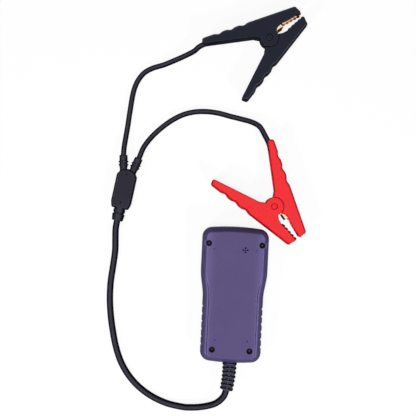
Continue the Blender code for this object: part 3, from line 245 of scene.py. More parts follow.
def new_material(name):
    made = bpy.data.materials.new(name)
    made.use_nodes = True
    return made, made.node_tree, made.node_tree.nodes["Principled BSDF"]


def finish(name, colour, roughness, grain=0.3, depth=0.02, mottle=16.0, spread=0.08, specular=0.3,
           metallic=0.0, clear=0.0, edge_highlight=None, scratch=None, shaded_flanks=None, lying=(0.35, 0.85),
           side_highlights=False, normals="True Normal"):
    """A moulded or metal finish: patchy colour, uneven gloss and a fine grain, sizes in mm.

    Edge highlight is a painted highlight: how much lighter slopes are painted and how level they are. With
    side highlights only slopes to the left and right take it, and a soft band of painted light lies on the
    shoulders too. Upright faces take the shaded flanks' share of the colour as painted shade, and lying says
    how level a face is where that shade ends, by the faces' own or the smooth normals. Scratch stretches the
    grain and turns it. Clear is the share of light that passes.
    """
    made, tree, shader = new_material(name)
    place = added(tree, "TexCoord", {}, "Object")
    grained = place
    if scratch:
        values = {"Vector": place, "Scale": scratch[:3], "Rotation": (0, 0, scratch[3])}
        grained = added(tree, "Mapping", values, "Vector")
    base = linear(colour)

    def noise(size, detail=2.0, source=place):
        return added(tree, "TexNoise", {"Vector": source, "Scale": 1 / (size * MM), "Detail": detail}, "Fac")

    def patches(source, low=0.0, high=1.0):
        return ranged(tree, source, *NOISE_RANGE, low, high)

    def both_shades(share):
        return [c * (1 - share) for c in base], [min(1.0, c * (1 + share)) for c in base]

    shade = mixed(tree, patches(noise(mottle, 3.0)), *both_shades(spread))
    speckle = mixed(tree, patches(noise(grain * 2.5, 1.0)), *both_shades(GRAIN_SPREAD))
    shown = mixed(tree, GRAIN_SHARE, shade, speckle)
    # Painted light: the case's shoulders made lighter as if lit from the sides
    if side_highlights:
        near, far = (x * MM for x in SHOULDER)
        shoulder = ranged(tree, along_axis(tree, place, "X"), near, far, 0.0, SHOULDER_SHARE, "SMOOTHSTEP")
        shown = mixed(tree, shoulder, shown, [c * PAINTED_SHOULDER_LIGHT for c in base])
    normal = added(tree, "NewGeometry", {}, normals)
    level = along_axis(tree, normal, "Z")
    # Painted shade: upright faces darker than level ones
    if shaded_flanks:
        shown = mixed(tree, ranged(tree, level, *lying), [c * f for c, f in zip(base, shaded_flanks)], shown)
    # Painted highlight: a lighter band on slopes of a given level, on the case only on slopes facing left and
    # right
    if edge_highlight:
        amount, at = edge_highlight
        none, full = (0, 0, 0, 1), (amount, amount, amount, 1)
        band = tree.nodes.new("ShaderNodeValToRGB")
        stops = band.color_ramp.elements
        stops[0].position, stops[1].position = at - 0.22, at - 0.1
        stops[0].color, stops[1].color = none, full
        stops.new(min(0.975, at + 0.02)).color = full
        stops.new(min(0.992, at + 0.06)).color = none
        feed(tree, band, {"Fac": level})
        highlight_share = computed(tree, "MULTIPLY", band.outputs["Color"], patches(noise(mottle / 3), 0.6))
        if side_highlights:
            highlight_share = computed(tree, "MULTIPLY", highlight_share, ranged(tree, along_axis(tree, normal, "X"), *SIDEWAYS))
        shown = mixed(tree, highlight_share, shown, [min(1.0, c * PAINTED_HIGHLIGHT[0] + PAINTED_HIGHLIGHT[1]) for c in base])
    gloss = (max(0.05, roughness - GLOSS_SPREAD), roughness + GLOSS_SPREAD)
    values = {"Strength": BUMP_STRENGTH, "Distance": depth * MM, "Height": noise(grain, source=grained)}
    feed(tree, shader, {"Base Color": shown, "Roughness": patches(noise(mottle / 4, source=grained), *gloss),
                        "Normal": added(tree, "Bump", values, "Normal"), "Metallic": metallic,
                        "Specular IOR Level": specular, "Transmission Weight": clear})
    return made


METAL = {"metallic": 1.0, "specular": 0.5}
# Painted light: the shaded flanks darken upright faces as painted shade, and the edge highlights, side
# highlights and the case's lit shoulders are painted highlights
PURPLE = finish("case_plastic", (95, 85, 128), 0.38, grain=0.4, mottle=22, spread=0.05, specular=0.025,
                edge_highlight=(0.9, 0.97), shaded_flanks=(0.54, 0.52, 0.72), side_highlights=True)
SPLIT_PLASTIC = finish("splitter_plastic", (51, 50, 61), 0.5, grain=0.4, depth=0.03, specular=0.006,
                       edge_highlight=(0.35, 0.95), shaded_flanks=(0.17, 0.17, 0.19), lying=(0.5, 0.9))
BLACK_PLASTIC = finish("black_clamp_plastic", (41, 43, 55), 0.5, grain=0.4, depth=0.03, specular=0.006,
                       edge_highlight=(0.9, 0.95), shaded_flanks=(0.16, 0.16, 0.18), lying=(0.55, 0.9))
RED_PLASTIC = finish("red_clamp_plastic", (254, 56, 62), 0.45, grain=0.5, spread=0.04, specular=0.012,
                     shaded_flanks=(0.66, 0.06, 0.16), lying=(0.86, 0.992))
JACKET = finish("cord_jacket", (62, 61, 73), 0.36, mottle=9, spread=0.12, specular=0.006,
                shaded_flanks=(0.06, 0.06, 0.07), lying=(0.78, 0.995), normals="Normal")
RELIEF_RUBBER = finish("relief_rubber", (62, 62, 73), 0.4, grain=0.35, depth=0.03, mottle=8, specular=0.006,
                       shaded_flanks=(0.1, 0.1, 0.11), lying=(0.66, 0.98), normals="Normal")
BOOT_RUBBER = finish("boot_rubber", (76, 76, 89), 0.4, grain=0.35, depth=0.03, mottle=8, specular=0.008,
                     shaded_flanks=(0.08, 0.08, 0.09), lying=(0.55, 0.97), normals="Normal")
COPPER = finish("copper_plate", (246, 190, 150), 0.3, grain=0.5, mottle=3, spread=0.12,
                scratch=(1, 1, 6, 0.6), **METAL)
# Painted highlight: a paler, lit copy of the copper for the contact tab's upper faces
LIT_COPPER = finish("lit_copper", (255, 226, 190), 0.3, grain=0.5, mottle=3, **METAL)
# Painted shade: a darkened copy of the copper for the free jaws, the tooth tips and the tab's side
SHADED_COPPER = finish("shaded_copper", (74, 38, 30), 0.5, grain=0.4, depth=0.03, mottle=2, spread=0.35,
                 metallic=0.4, specular=0.1)
STEEL = finish("spring_steel", (176, 176, 180), 0.28, depth=0.01, mottle=2, **METAL)
# Worn bare steel in the screws' crosses, which also stands in for their glint as a painted highlight
CROSS_STEEL = finish("worn_cross_glint", (104, 102, 100), 0.4, depth=0.01, mottle=2, **METAL)
SCREW_STEEL = finish("black_screw", (13, 12, 13), 0.3, grain=0.4, depth=0.01, mottle=2, spread=0.2,
                     specular=0.2)
TIN = finish("tinned_lug", (190, 186, 178), 0.35, depth=0.01, mottle=2, **METAL)
KEY_PLASTIC = finish("key_plastic", (203, 203, 210), 0.45, depth=0.015, mottle=6, spread=0.03)
ICON_INK = finish("key_symbol", (52, 47, 78), 0.5, depth=0.01, mottle=3)
OVERLAY = finish("keypad_sheet", (38, 38, 46), 0.42, grain=0.25, depth=0.015, mottle=10, specular=0.35)
BORDER_INK = finish("printed_border", (24, 25, 30), 0.3, depth=0.005, mottle=10, specular=0.4)
LINE_INK = finish("printed_line", (150, 148, 165), 0.45, depth=0.005, mottle=6)
LAMINATE = finish("board_laminate", (28, 84, 50), 0.4, grain=0.6, depth=0.01, mottle=5, spread=0.2)
MOULDED = finish("component_body", (32, 32, 35), 0.45, mottle=4)
CERAMIC = finish("resistor_ceramic", (222, 219, 206), 0.8, depth=0.04, mottle=3, spread=0.05)
RED_JACKET = finish("red_wire_jacket", (190, 28, 34), 0.5, depth=0.01, mottle=6)
GREY_GLASS = finish("display_glass", (108, 116, 100), 0.16, grain=0.5, depth=0.004, mottle=12, spread=0.05,
                    specular=0.5)
LENS = finish("smoked_lens", (150, 152, 158), 0.08, grain=0.6, depth=0.002, mottle=20, spread=0.03,
              specular=0.5, clear=0.9)


# Mesh tools

def loft(loops, capped=True, closed=False, into=None):
    """Skin through loops of equal length, capped at both ends or joined into a ring."""
    mesh = bmesh.new() if into is None else into
    rings = [[mesh.verts.new(point) for point in loop] for loop in loops]
    count = len(rings[0])
    pairs = list(zip(rings, rings[1:])) + ([(rings[-1], rings[0])] if closed else [])
    for low, high in pairs:
        for i in range(count):
            j = (i + 1) % count
            mesh.faces.new((low[i], low[j], high[j], high[i]))
    if capped and not closed:
        mesh.faces.new(rings[0][::-1])
        mesh.faces.new(rings[-1])
    return mesh


def raised(outline, z):
    return [(x, y, z) for x, y in outline]


def prism(outline, low, high, into=None):
    return loft([raised(outline, z) for z in (low, high)], into=into)


def box(corner, opposite, low, high):
    (left, front), (right, back) = corner, opposite
    return prism([(left, front), (right, front), (right, back), (left, back)], low, high)


def arc(centre, radius, start, stop, steps):
    angles = [start + (stop - start) * i / steps for i in range(steps + 1)]
    return [(centre[0] + radius * math.cos(a), centre[1] + radius * math.sin(a)) for a in angles]


def circle(centre, radius, steps=32):
    return arc(centre, radius, 0, 2 * math.pi, steps)[:-1]


def turned(centre, profile, steps=32, into=None):
    """A round body about a vertical axis from (radius, z) pairs."""
    return loft([raised(circle(centre, r, steps), z) for r, z in profile], into=into)


def rounded(centre, size, radius, inset=0.0, steps=8):
    """A rectangle with rounded corners, drawn in by an inset."""
    points = []
    for turn, (sx, sy) in enumerate([(1, 1), (-1, 1), (-1, -1), (1, -1)]):
        corner = (centre[0] + sx * (size[0] / 2 - inset - radius),
                  centre[1] + sy * (size[1] / 2 - inset - radius))
        points += arc(corner, radius, turn * math.pi / 2, (turn + 1) * math.pi / 2, steps)
    return points


def softened(corners, steps=6, closed=True):
    """Outline through (x, y, radius) corners, each rounded by its radius."""
    points = []
    last = len(corners) - 1
    for i, (x, y, radius) in enumerate(corners):
        if radius == 0 or (not closed and i in (0, last)):
            points.append((x, y))
            continue
        here = Vector((x, y))
        before = (Vector(corners[i - 1][:2]) - here).normalized()
        after = (Vector(corners[(i + 1) % len(corners)][:2]) - here).normalized()
        half = before.angle(after) / 2
        reach = radius / math.tan(half)
        centre = here + (before + after).normalized() * (radius / math.sin(half))
        start = here + before * reach - centre
        end = here + after * reach - centre
        sweep = end.angle_signed(start)
        for k in range(steps + 1):
            points.append(tuple(centre + Matrix.Rotation(sweep * k / steps, 2) @ start))
    return points


def drawn_in(outline, insets):
    """A counter-clockwise outline moved inwards by the inset of each of its points."""
    moved = []
    for i, (point, inset) in enumerate(zip(outline, insets)):
        here = Vector(point)
        before = (here - Vector(outline[i - 1])).normalized()
        after = (Vector(outline[(i + 1) % len(outline)]) - here).normalized()
        inward = Vector((-before.y - after.y, before.x + after.x))
        if inward.length < 1e-6:
            moved.append(point)
            continue
        inward.normalize()
        lean = max(0.5, inward.dot(Vector((-after.y, after.x))))
        moved.append(tuple(here + inward * inset / lean))
    return moved


def smooth_curve(points, step):
    """Points at an even distance along a smooth curve through the given ones."""
    knots = [Vector(p) for p in points]
    knots = [2 * knots[0] - knots[1]] + knots + [2 * knots[-1] - knots[-2]]
    fine = []
    for a, b, c, d in zip(knots, knots[1:], knots[2:], knots[3:]):
        for k in range(12):
            u = k / 12
            fine.append(0.5 * (2 * b + (c - a) * u + (2 * a - 5 * b + 4 * c - d) * u ** 2
                               + (3 * b - a - 3 * c + d) * u ** 3))
    fine.append(knots[-2])
    lengths = [0.0]
    for a, b in zip(fine, fine[1:]):
        lengths.append(lengths[-1] + (b - a).length)
    count = max(2, round(lengths[-1] / step))
    even = []
    k = 0
    for i in range(count + 1):
        target = lengths[-1] * i / count
        while k < len(fine) - 2 and lengths[k + 1] < target:
            k += 1
        share = (target - lengths[k]) / (lengths[k + 1] - lengths[k])
        even.append(fine[k].lerp(fine[k + 1], share))
    return even


def station(path, distance):
    k = 0
    gone = 0.0
    while k < len(path) - 2 and gone + (path[k + 1] - path[k]).length < distance:
        gone += (path[k + 1] - path[k]).length
        k += 1
    along = (path[k + 1] - path[k]).normalized()
    return path[k] + along * (distance - gone), along


def section(centre, along, radius_at, steps):
    """A ring about a path, radius_at(angle) with angle 0 to its side and a quarter turn up."""
    side = along.cross(Vector((0, 0, 1))).normalized()
    up = side.cross(along)
    angles = [2 * math.pi * i / steps for i in range(steps)]
    return [centre + radius_at(a) * (side * math.cos(a) + up * math.sin(a)) for a in angles]


def tube(path, radius, steps):
    loops = []
    for i, centre in enumerate(path):
        along = (path[min(i + 1, len(path) - 1)] - path[max(i - 1, 0)]).normalized()
        loops.append(section(centre, along, lambda angle: radius, steps))
    return loft(loops)


def round_section(path, distance, radius, steps):
    return section(*station(path, distance), lambda angle: radius, steps)


def bore_sections(path, last, first, radius, count, steps):
    """The inside of a hollow piece, from its last distance back to its first."""
    return [round_section(path, last + (first - last) * k / count, radius, steps) for k in range(count + 1)]


def sleeve(path, profile, bore, steps=32):
    """A hollow round piece along a path: profile gives (distance, radius) pairs."""
    outer = [round_section(path, d, r, steps) for d, r in profile]
    inner = bore_sections(path, profile[-1][0], profile[0][0], bore, 6, steps)
    return loft(outer + inner, closed=True)


def placed(name, data):
    made = bpy.data.objects.new(name, data)
    bpy.context.scene.collection.objects.link(made)
    return made


def solid(name, mesh, *materials):
    """An object made from a mesh, which is used up."""
    bmesh.ops.recalc_face_normals(mesh, faces=mesh.faces)
    data = bpy.data.meshes.new(name)
    mesh.to_mesh(data)
    mesh.free()
    for material in materials:
        data.materials.append(material)
    return placed(name, data)


def carved(mesh, *changes):
    """The mesh after each (operation, shape) change."""
    held = [solid("temporary", mesh)]
    for operation, other in changes:
        held.append(solid("temporary", other))
        change = held[0].modifiers.new("change", "BOOLEAN")
        change.operation = operation
        change.object = held[-1]
        change.solver = "EXACT"
    seen = held[0].evaluated_get(bpy.context.evaluated_depsgraph_get())
    data = bpy.data.meshes.new_from_object(seen)
    result = bmesh.new()
    result.from_mesh(data)
    bpy.data.meshes.remove(data)
    for each in held:
        data = each.data
        bpy.data.objects.remove(each)
        bpy.data.meshes.remove(data)
    bmesh.ops.remove_doubles(result, verts=result.verts, dist=0.002)
    return result


def cut_by(mesh, *cuts):
    return carved(mesh, *[("DIFFERENCE", cut) for cut in cuts])


def piece(name, mesh, materials, replaced=(), angle=35, place=None, body="tester", riding=True):
    """A finished piece: mm to metres, smooth faces with sharp creases, riding on its body."""
    made = solid(name, mesh, *materials)
    made.data.transform(Matrix.Scale(MM, 4) @ (place or Matrix.Identity(4)))
    made.data.shade_smooth()
    made.data.set_sharp_from_angle(angle=math.radians(angle))
    even = made.modifiers.new("even_shading", "WEIGHTED_NORMAL")
    even.keep_sharp = True
    if riding:
        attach(made, body)
    if replaced:
        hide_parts(*replaced)
    return made


# Camera: straight above, as in the photograph

CAMERA_PLACE = (-26.8, 78.5, 870.0)
CAMERA_TURN = math.radians(2.75)
FOCAL_PIXELS = 930.0
IMAGE_PIXELS = 416
SENSOR = 36.0
camera_data = bpy.data.cameras.new("camera")
camera_data.sensor_width = SENSOR
camera_data.lens = SENSOR * FOCAL_PIXELS / IMAGE_PIXELS
camera = placed("camera", camera_data)
camera.location = [c * MM for c in CAMERA_PLACE]
camera.rotation_euler = (0, 0, CAMERA_TURN)
bpy.context.scene.camera = camera


# Cords

SPLITTER_PLACE = Matrix.Translation((*SPLITTER, 0)) @ Matrix.Rotation(-SPLITTER_TILT, 4, "Z")


def clamp_place(colour, side):
    pivot, angle = PIVOTS[colour]
    place = Matrix.Translation((*pivot, 0)) @ Matrix.Rotation(angle, 4, "Z")
    if side < 0:
        place = place @ Matrix.Translation((0, 0, CLAMP_THICK)) @ Matrix.Rotation(math.pi, 4, "X")
    return place


def main_port(reach):
    """Point in the splitter's own frame, by its reach out of the lower end."""
    return Vector((0, -SPLITTER_LENGTH / 2 - reach, SPLITTER_THICK / 2))


def lead_port(side, reach):
    across = side * (PORT_OFFSET + reach * math.tan(PORT_TILT))
    return Vector((across, SPLITTER_LENGTH / 2 + reach, SPLITTER_THICK / 2))


FLANGE_Y = LOW_Y + 5.0
JACKET_Y = FLANGE_Y + 6.0
MAIN_POINTS = ([(0, y, PARTING_Z) for y in (JACKET_Y, FLANGE_Y, LOW_Y)] + MAIN_ROUTE
               + [SPLITTER_PLACE @ main_port(reach) for reach in (RELIEF_MAIN_LENGTH, -RELIEF_INSIDE)])
MAIN_PATH = smooth_curve(MAIN_POINTS, CORD_STEP)


def lead_path(side, points, colour):
    reaches = (-RELIEF_INSIDE, RELIEF_LEAD_LENGTH / 2, RELIEF_LEAD_LENGTH)
    start = [SPLITTER_PLACE @ lead_port(side, reach) for reach in reaches]
    handle = [clamp_place(colour, 1) @ Vector((t, n, CLAMP_THICK / 2)) for t, n in HANDLE_ROUTE]
    return smooth_curve(start + points + handle, LEAD_STEP)


LEAD_PATHS = {"black": lead_path(-1, BLACK_ROUTE, "black"), "red": lead_path(1, RED_ROUTE, "red")}


def make_cords():
    cord = piece("main_cord_jacket", tube(MAIN_PATH, CORD_R, 24), [JACKET], ["main_cord"])
    leads = {}
    for colour, path in LEAD_PATHS.items():
        name = colour + "_lead"
        made = piece(name + "_jacket", tube(path, LEAD_R, 20), [JACKET], [name],
                     riding=colour == "black")
        if colour == "red":
            made.modifiers.clear()
            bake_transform(made)
        leads[colour] = made
    return cord, leads


# Case

def end_half(width, sign):
    """Right half of one arched end, from the middle of the end to its side."""
    middle_y = TOP_Y - END_ARCH_R
    corner_x = width - CORNER_R
    corner_y = middle_y + math.sqrt((END_ARCH_R - CORNER_R) ** 2 - corner_x ** 2)
    meet = math.atan2(corner_y - middle_y, corner_x)
    arch = arc((0, middle_y), END_ARCH_R, math.pi / 2, meet, 14)[:-1]
    corner = arc((corner_x, corner_y), CORNER_R, meet, 0, 16)
    return [(x, sign * y) for x, y in arch + corner]


def ease(u):
    u = min(1.0, max(0.0, u))
    return u * u * (3 - 2 * u)


def grip_share(y):
    return ease((TAPER_TOP_Y - y) / (TAPER_TOP_Y - TAPER_LOW_Y))


def case_ring():
    """Fine points round the case with their inward directions."""
    right = end_half(UPPER_HALF, 1)
    low_end = end_half(LOWER_HALF, -1)[::-1]
    start, stop = right[-1][1], low_end[0][1]
    count = round((start - stop) / RING_STEP)
    for i in range(1, count):
        y = start + (stop - start) * i / count
        right.append((UPPER_HALF + (LOWER_HALF - UPPER_HALF) * grip_share(y), y))
    right += low_end
    ring = [Vector(p) for p in right + [(-x, y) for x, y in right[-2:0:-1]]]
    found = []
    for i, point in enumerate(ring):
        along = ring[(i + 1) % len(ring)] - ring[i - 1]
        found.append((point, Vector((along.y, -along.x)).normalized()))
    return found


CASE_RING = case_ring()


def dip(place, centres, half, depth):
    """Depth at a place in a row of soft grooves."""
    off = min(abs(place - centre) for centre in centres)
    return depth * 0.5 * (1 + math.cos(math.pi * off / half)) if off < half else 0.0


def case_loops(upper, grip, steps):
    """Loops through a cross-section, which changes from upper to grip along the case."""
    first = smooth_curve([(inset, z, 0) for inset, z in upper], SECTION_STEP)
    second = smooth_curve([(inset, z, 0) for inset, z in grip], SECTION_STEP)
    loops = []
    for k in range(steps + 1):
        a = first[round(k / steps * (len(first) - 1))]
        b = second[round(k / steps * (len(second) - 1))]
        loop = []
        for point, inward in CASE_RING:
            share = grip_share(point.y) * ease((abs(inward.x) - SIDE_FADE[0]) / SIDE_FADE[1])
            inset = a.x + (b.x - a.x) * share
            depth = (1 - ease(inset / GROOVE_FADE)) * dip(point.y, GROOVE_YS, GROOVE_HALF, GROOVE_DEPTH)
            place = point + inward * (inset + (depth if abs(point.x) > LOWER_HALF / 2 else 0.0))
            loop.append((place.x, place.y, a.y + (b.y - a.y) * share))
        loops.append(loop)
    return loops


def plain_loop(inset, z):
    return raised([point + inward * inset for point, inward in CASE_RING], z)


BACK_UPPER = [(0.25, 12.15), (0.0, 12.5), (0.02, 14.2), (0.25, 16.4), (0.9, 18.8), (2.1, 21.2), (3.4, 23.2),
              (4.4, 24.5), (5.0, 24.9), (5.7, 25.0), (6.6, 25.0)]
BACK_GRIP = [(0.25, 12.15), (0.0, 12.5), (0.02, 14.0), (0.25, 16.0), (0.9, 18.2), (2.1, 20.5), (3.4, 22.3),
             (4.5, 23.35), (5.2, 23.5), (5.65, 23.2), (6.15, 24.7), (6.9, 25.0)]
FACE_SIDE = [(0.25, 11.85), (0.0, 11.5), (0.0, 8.5), (0.0, 5.06), (0.55, 2.76), (2.05, 0.85), (3.6, 0.16),
             (4.8, 0.0)]


def neck_hole():
    ring = circle((0, PARTING_Z), NECK_R, 40)
    return loft([[(x, y, z) for x, z in ring] for y in (LOW_Y - 8, LOW_Y + 5)])


def make_rear():
    inner = [plain_loop(*level) for level in ((7.0, 22.4), (3.2, 20.6), (2.2, 18.0), (2.2, 12.15))]
    shell = loft(inner + case_loops(BACK_UPPER, BACK_GRIP, 40) + [plain_loop(7.6, CASE_THICK)])
    posts, holes, dents = (bmesh.new() for _ in range(3))
    for place in SCREW_PLACES:
        turned(place, [(SCREW_POST_R, 14.0), (SCREW_POST_R, 23.0)], into=posts)
        turned(place, [(SCREW_HOLE_R, 20.6), (SCREW_HOLE_R, CASE_THICK - 0.25),
                       (SCREW_HOLE_R + 0.2, CASE_THICK), (SCREW_HOLE_R + 0.45, CASE_THICK + 0.3)], into=holes)
    for dx, dy in ((0, 0), (1, 0), (-1, 0), (0, 1), (0, -1)):
        radius = VENT_R[1] if dx or dy else VENT_R[0]
        turned((VENT[0] + dx * VENT_STEP, VENT[1] + dy * VENT_STEP),
               [(radius, 21.0), (radius, CASE_THICK - 0.15), (radius + 0.25, CASE_THICK + 0.3)], 16, holes)
    for place in SINK_MARKS:
        turned(place, [(0.05, CASE_THICK - 0.9), (0.8, CASE_THICK), (1.0, CASE_THICK + 0.25)], 16, dents)
    cover = carved(shell, ("UNION", posts), ("DIFFERENCE", holes), ("DIFFERENCE", dents),
                   ("DIFFERENCE", neck_hole()))
    piece("rear_shell", cover, [PURPLE], ["rear_cover"], 24)


def make_front():
    inner = [plain_loop(*level) for level in ((5.2, 3.4), (2.8, 5.7), (2.2, 11.85))]
    shell = loft(inner + case_loops(FACE_SIDE, FACE_SIDE, 22) + [plain_loop(5.4, 0.0)])
    panels, holes = bmesh.new(), bmesh.new()
    for centre, size in ((DISPLAY, DISPLAY_SIZE), (KEYPAD, KEYPAD_SIZE)):
        prism(rounded(centre, size, 4), -CUT, PANEL_FLOOR_Z, panels)
    outlines = [rounded(DISPLAY, WINDOW_SIZE, 2)]
    outlines += [rounded(place, KEY_SIZE, KEY_ROUND + KEY_GAP, -KEY_GAP) for place in KEY_PLACES.values()]
    for outline in outlines:
        prism(outline, PANEL_FLOOR_Z - CUT, 2 * PANEL_FLOOR_Z, holes)
    cover = cut_by(shell, panels, holes, neck_hole())
    piece("front_shell", cover, [PURPLE], ["front_cover"], 24)


SCREW_PROFILE = [(1.3, 17.0), (1.4, 21.0), (2.35, 21.0), (2.4, 22.0), (2.25, 22.55), (1.8, 22.87),
                 (1.1, 22.98), (0.5, SCREW_TOP_Z)]


def make_screws():
    for number, place in enumerate(SCREW_PLACES):
        slots = []
        turn = CROSS_TURN[0] + CROSS_TURN[1] * number
        for quarter in (turn, turn + math.pi / 2):
            along = Vector((math.cos(quarter), math.sin(quarter))) * CROSS_HALF[0]
            across = Vector((-math.sin(quarter), math.cos(quarter))) * CROSS_HALF[1]
            corners = [along + across, across - along, -along - across, along - across]
            slots.append(loft([raised([Vector(place) + p * size for p in corners], z) for size, z in
                               ((CROSS_TAPER, CROSS_FLOOR_Z), (1.0, SCREW_TOP_Z + 0.4))]))
        name = f"case_screw_{number + 1}"
        head = cut_by(turned(place, SCREW_PROFILE), *slots)
        made = piece(name + "_head", head, [SCREW_STEEL, CROSS_STEEL], [name], 30)
        # The crosses take the worn steel, partly a painted highlight
        for face in made.data.polygons:
            middle = face.center / MM
            if (CROSS_FLOOR_Z - 0.4 < middle.z < SCREW_TOP_Z - 0.1
                    and (middle.xy - Vector(place)).length < CROSS_HALF[0] - 0.1):
                face.material_index = 1


# Face: keys, symbols and printed lines

ICONS = {
    "key_up": [(0, 2.0), (2.2, -1.3), (-2.2, -1.3)],
    "key_down": [(0, -2.0), (-2.2, 1.3), (2.2, 1.3)],
    "key_back": [(-2.4, 0), (0.2, -2.0), (0.2, -0.7), (2.4, -0.7), (2.4, 0.7), (0.2, 0.7), (0.2, 2.0)],
    "key_enter": [(2.4, 1.9), (1.5, 2.3), (-0.5, -0.5), (-1.6, 0.6), (-2.4, 0.0), (-0.4, -2.0)],
}
KEY_EDGE = [(1.9, 0.5), (1.2, 0.42), (0.6, 0.34), (0.25, 0.45), (0.06, 0.7), (0.0, 1.1), (0.0, 3.7),
            (-1.0, 3.7), (-1.0, 4.7)]


def frame_of(outer, inner, low, high):
    """A flat frame between two outlines of equal length."""
    corners = ((outer, low), (outer, high), (inner, high), (inner, low))
    return loft([raised(outline, z) for outline, z in corners], closed=True)


def make_keys():
    for name, place in KEY_PLACES.items():
        loops = [raised(rounded(place, KEY_SIZE, max(0.7, KEY_ROUND - inset), inset), z)
                 for inset, z in KEY_EDGE]
        piece(name + "_cap", loft(loops), [KEY_PLASTIC], [name], 40, body=name)
        icon = softened([(place[0] + x, place[1] + y, 0.25) for x, y in ICONS[name]], 4)
        piece(name + "_symbol", prism(icon, 0.36, 0.7), [ICON_INK], angle=30, body=name)
    border = frame_of(rounded(DISPLAY, DISPLAY_SIZE, 3.4, 0.7), rounded(DISPLAY, WINDOW_SIZE, 1.8, 0.2),
                      BORDER_Z, SHEET_Z)
    piece("display_border", border, [BORDER_INK], angle=30)
    for name, centre, size, inset in (("display_line", DISPLAY, DISPLAY_SIZE, 1.4),
                                      ("keypad_line", KEYPAD, KEYPAD_SIZE, 1.5)):
        line = frame_of(rounded(centre, size, 3.0, inset), rounded(centre, size, 2.6, inset + LINE_WIDTH),
                        LINE_Z, SHEET_Z)
        piece(name, line, [LINE_INK], angle=30)


# Boot and splitter

BOOT_PITCH = 3.85
BOOT_RIB = 2.2
BOOT_RIBS = 7
BOOT_R = (6.7, 6.1)  # of the first and the last rib
BOOT_NECK_R = 4.9
BOOT_SLOT_R = 3.7
BOOT_FLANGE = (6.0, 2.0)  # radius and thickness
BOOT_SPINE = (1.2, 1.0)  # half width and depth under the ribs
BOOT_FLANK = (2.4, 0.75)
BOOT_STEPS = 48


def make_boot():
    """Ribs on a core with a spine above and below and a strip along each side."""
    first = JACKET_Y - FLANGE_Y
    start = JACKET_Y - LOW_Y + 0.3
    length = BOOT_PITCH * (BOOT_RIBS - 1) + BOOT_RIB
    flange = first + BOOT_FLANGE[1]
    inside = [(first, BOOT_FLANGE[0]), (flange, BOOT_FLANGE[0]), (flange + 0.01, BOOT_NECK_R),
              (start - 0.05, BOOT_NECK_R)]
    loops = [round_section(MAIN_PATH, distance, radius, BOOT_STEPS) for distance, radius in inside]
    steps = round(length / 0.18)
    for k in range(steps + 1):
        gone = length * k / steps
        off = gone % BOOT_PITCH
        full = BOOT_R[0] + (BOOT_R[1] - BOOT_R[0]) * k / steps
        bulge = ease(min(off, BOOT_RIB - off) / 0.4) if off < BOOT_RIB else 0.0
        least = BOOT_SLOT_R if gone > BOOT_RIB / 2 else BOOT_NECK_R

        def radius(angle):
            spine = min(full - BOOT_SPINE[1], BOOT_SPINE[0] / max(0.05, abs(math.cos(angle))))
            flank = min(full - BOOT_FLANK[1], BOOT_FLANK[0] / max(0.05, abs(math.sin(angle))))
            slot = max(least, spine, flank)
            return slot + (full - slot) * bulge

        loops.append(section(*station(MAIN_PATH, start + gone), radius, BOOT_STEPS))
    loops += bore_sections(MAIN_PATH, start + length, first, CORD_R + 0.25, 14, BOOT_STEPS)
    piece("boot_body", loft(loops, closed=True), [BOOT_RUBBER], ["cord_boot"], 40)


SPLITTER_HALF = (7.9, 9.5)  # half widths at the main cord and at the leads
SPLITTER_PEAK = 5.2
SPLITTER_ROUND = 4.4
SPLITTER_WALL = (2.0, 1.8)  # sideways and above
SPLITTER_EDGE = [(2.4, 0.0), (2.0, 0.07), (1.5, 0.32), (1.0, 0.85), (0.55, 1.65), (0.2, 2.8), (0.0, 4.6),
                 (0.0, 5.6), (0.2, 5.85)]
MAIN_PASSAGE_R = 5.4
LEAD_PASSAGE_R = 3.7
RELIEF_MAIN = [(0, 5.2), (0.14, 5.2), (0.22, 5.5), (0.42, 5.5), (0.42, 4.8), (0.53, 4.8), (0.53, 5.75),
               (0.66, 5.75), (1.08, 5.0)]
RELIEF_MAIN_START = -1.2
RELIEF_LEAD_R = (3.5, 3.8, 4.6, 3.3)  # in the splitter, outside it, on the rings and at the end
RELIEF_RINGS = (0.43, 0.6)
RELIEF_RING = 1.3


def splitter_outline(inset):
    half = SPLITTER_LENGTH / 2
    low, wide = (width - inset for width in SPLITTER_HALF)
    shoulder, peak = half - 1.3, half + SPLITTER_PEAK - inset
    right = [(low, inset - half, max(2.2 - inset, 0.5)), (wide, 6.0 - half, SPLITTER_ROUND),
             (wide, shoulder - inset / 2, SPLITTER_ROUND - inset),
             (wide * 0.67, shoulder + (peak - shoulder) * 0.7, SPLITTER_ROUND - inset)]
    return softened(right + [(0, peak, SPLITTER_ROUND)] + [(-x, y, r) for x, y, r in right[::-1]], 8)


def make_splitter():
    half = SPLITTER_LENGTH / 2
    top = [(inset, SPLITTER_THICK - z) for inset, z in SPLITTER_EDGE[::-1]]
    for name, levels in (("splitter_base", SPLITTER_EDGE), ("splitter_top", top)):
        passages = [tube([main_port(reach) for reach in (-3, 2)], MAIN_PASSAGE_R, 40)]
        for side in (-1, 1):
            passages.append(tube([lead_port(side, reach) for reach in (-3, 10)], LEAD_PASSAGE_R, 32))
        dots = bmesh.new()
        for along in (half - 0.3, 6.0 - half):
            turned((0, along), [(0.6, 9.6), (0.6, 11.8), (0.75, 12.4)], 16, dots)
        wall, plate = SPLITTER_WALL
        cavity = prism(splitter_outline(wall), plate, SPLITTER_THICK - plate)
        mesh = loft([raised(splitter_outline(inset), z) for inset, z in levels])
        mesh = cut_by(mesh, cavity, dots, *passages)
        piece(name + "_shell", mesh, [SPLIT_PLASTIC], [name], 35, SPLITTER_PLACE)


def make_relief(name, path, corners, radius, bore):
    profile = softened([(d, r, radius) for d, r in corners], 4, closed=False)
    piece(name + "_sleeve", sleeve(path, profile, bore), [RELIEF_RUBBER], [name], 40)


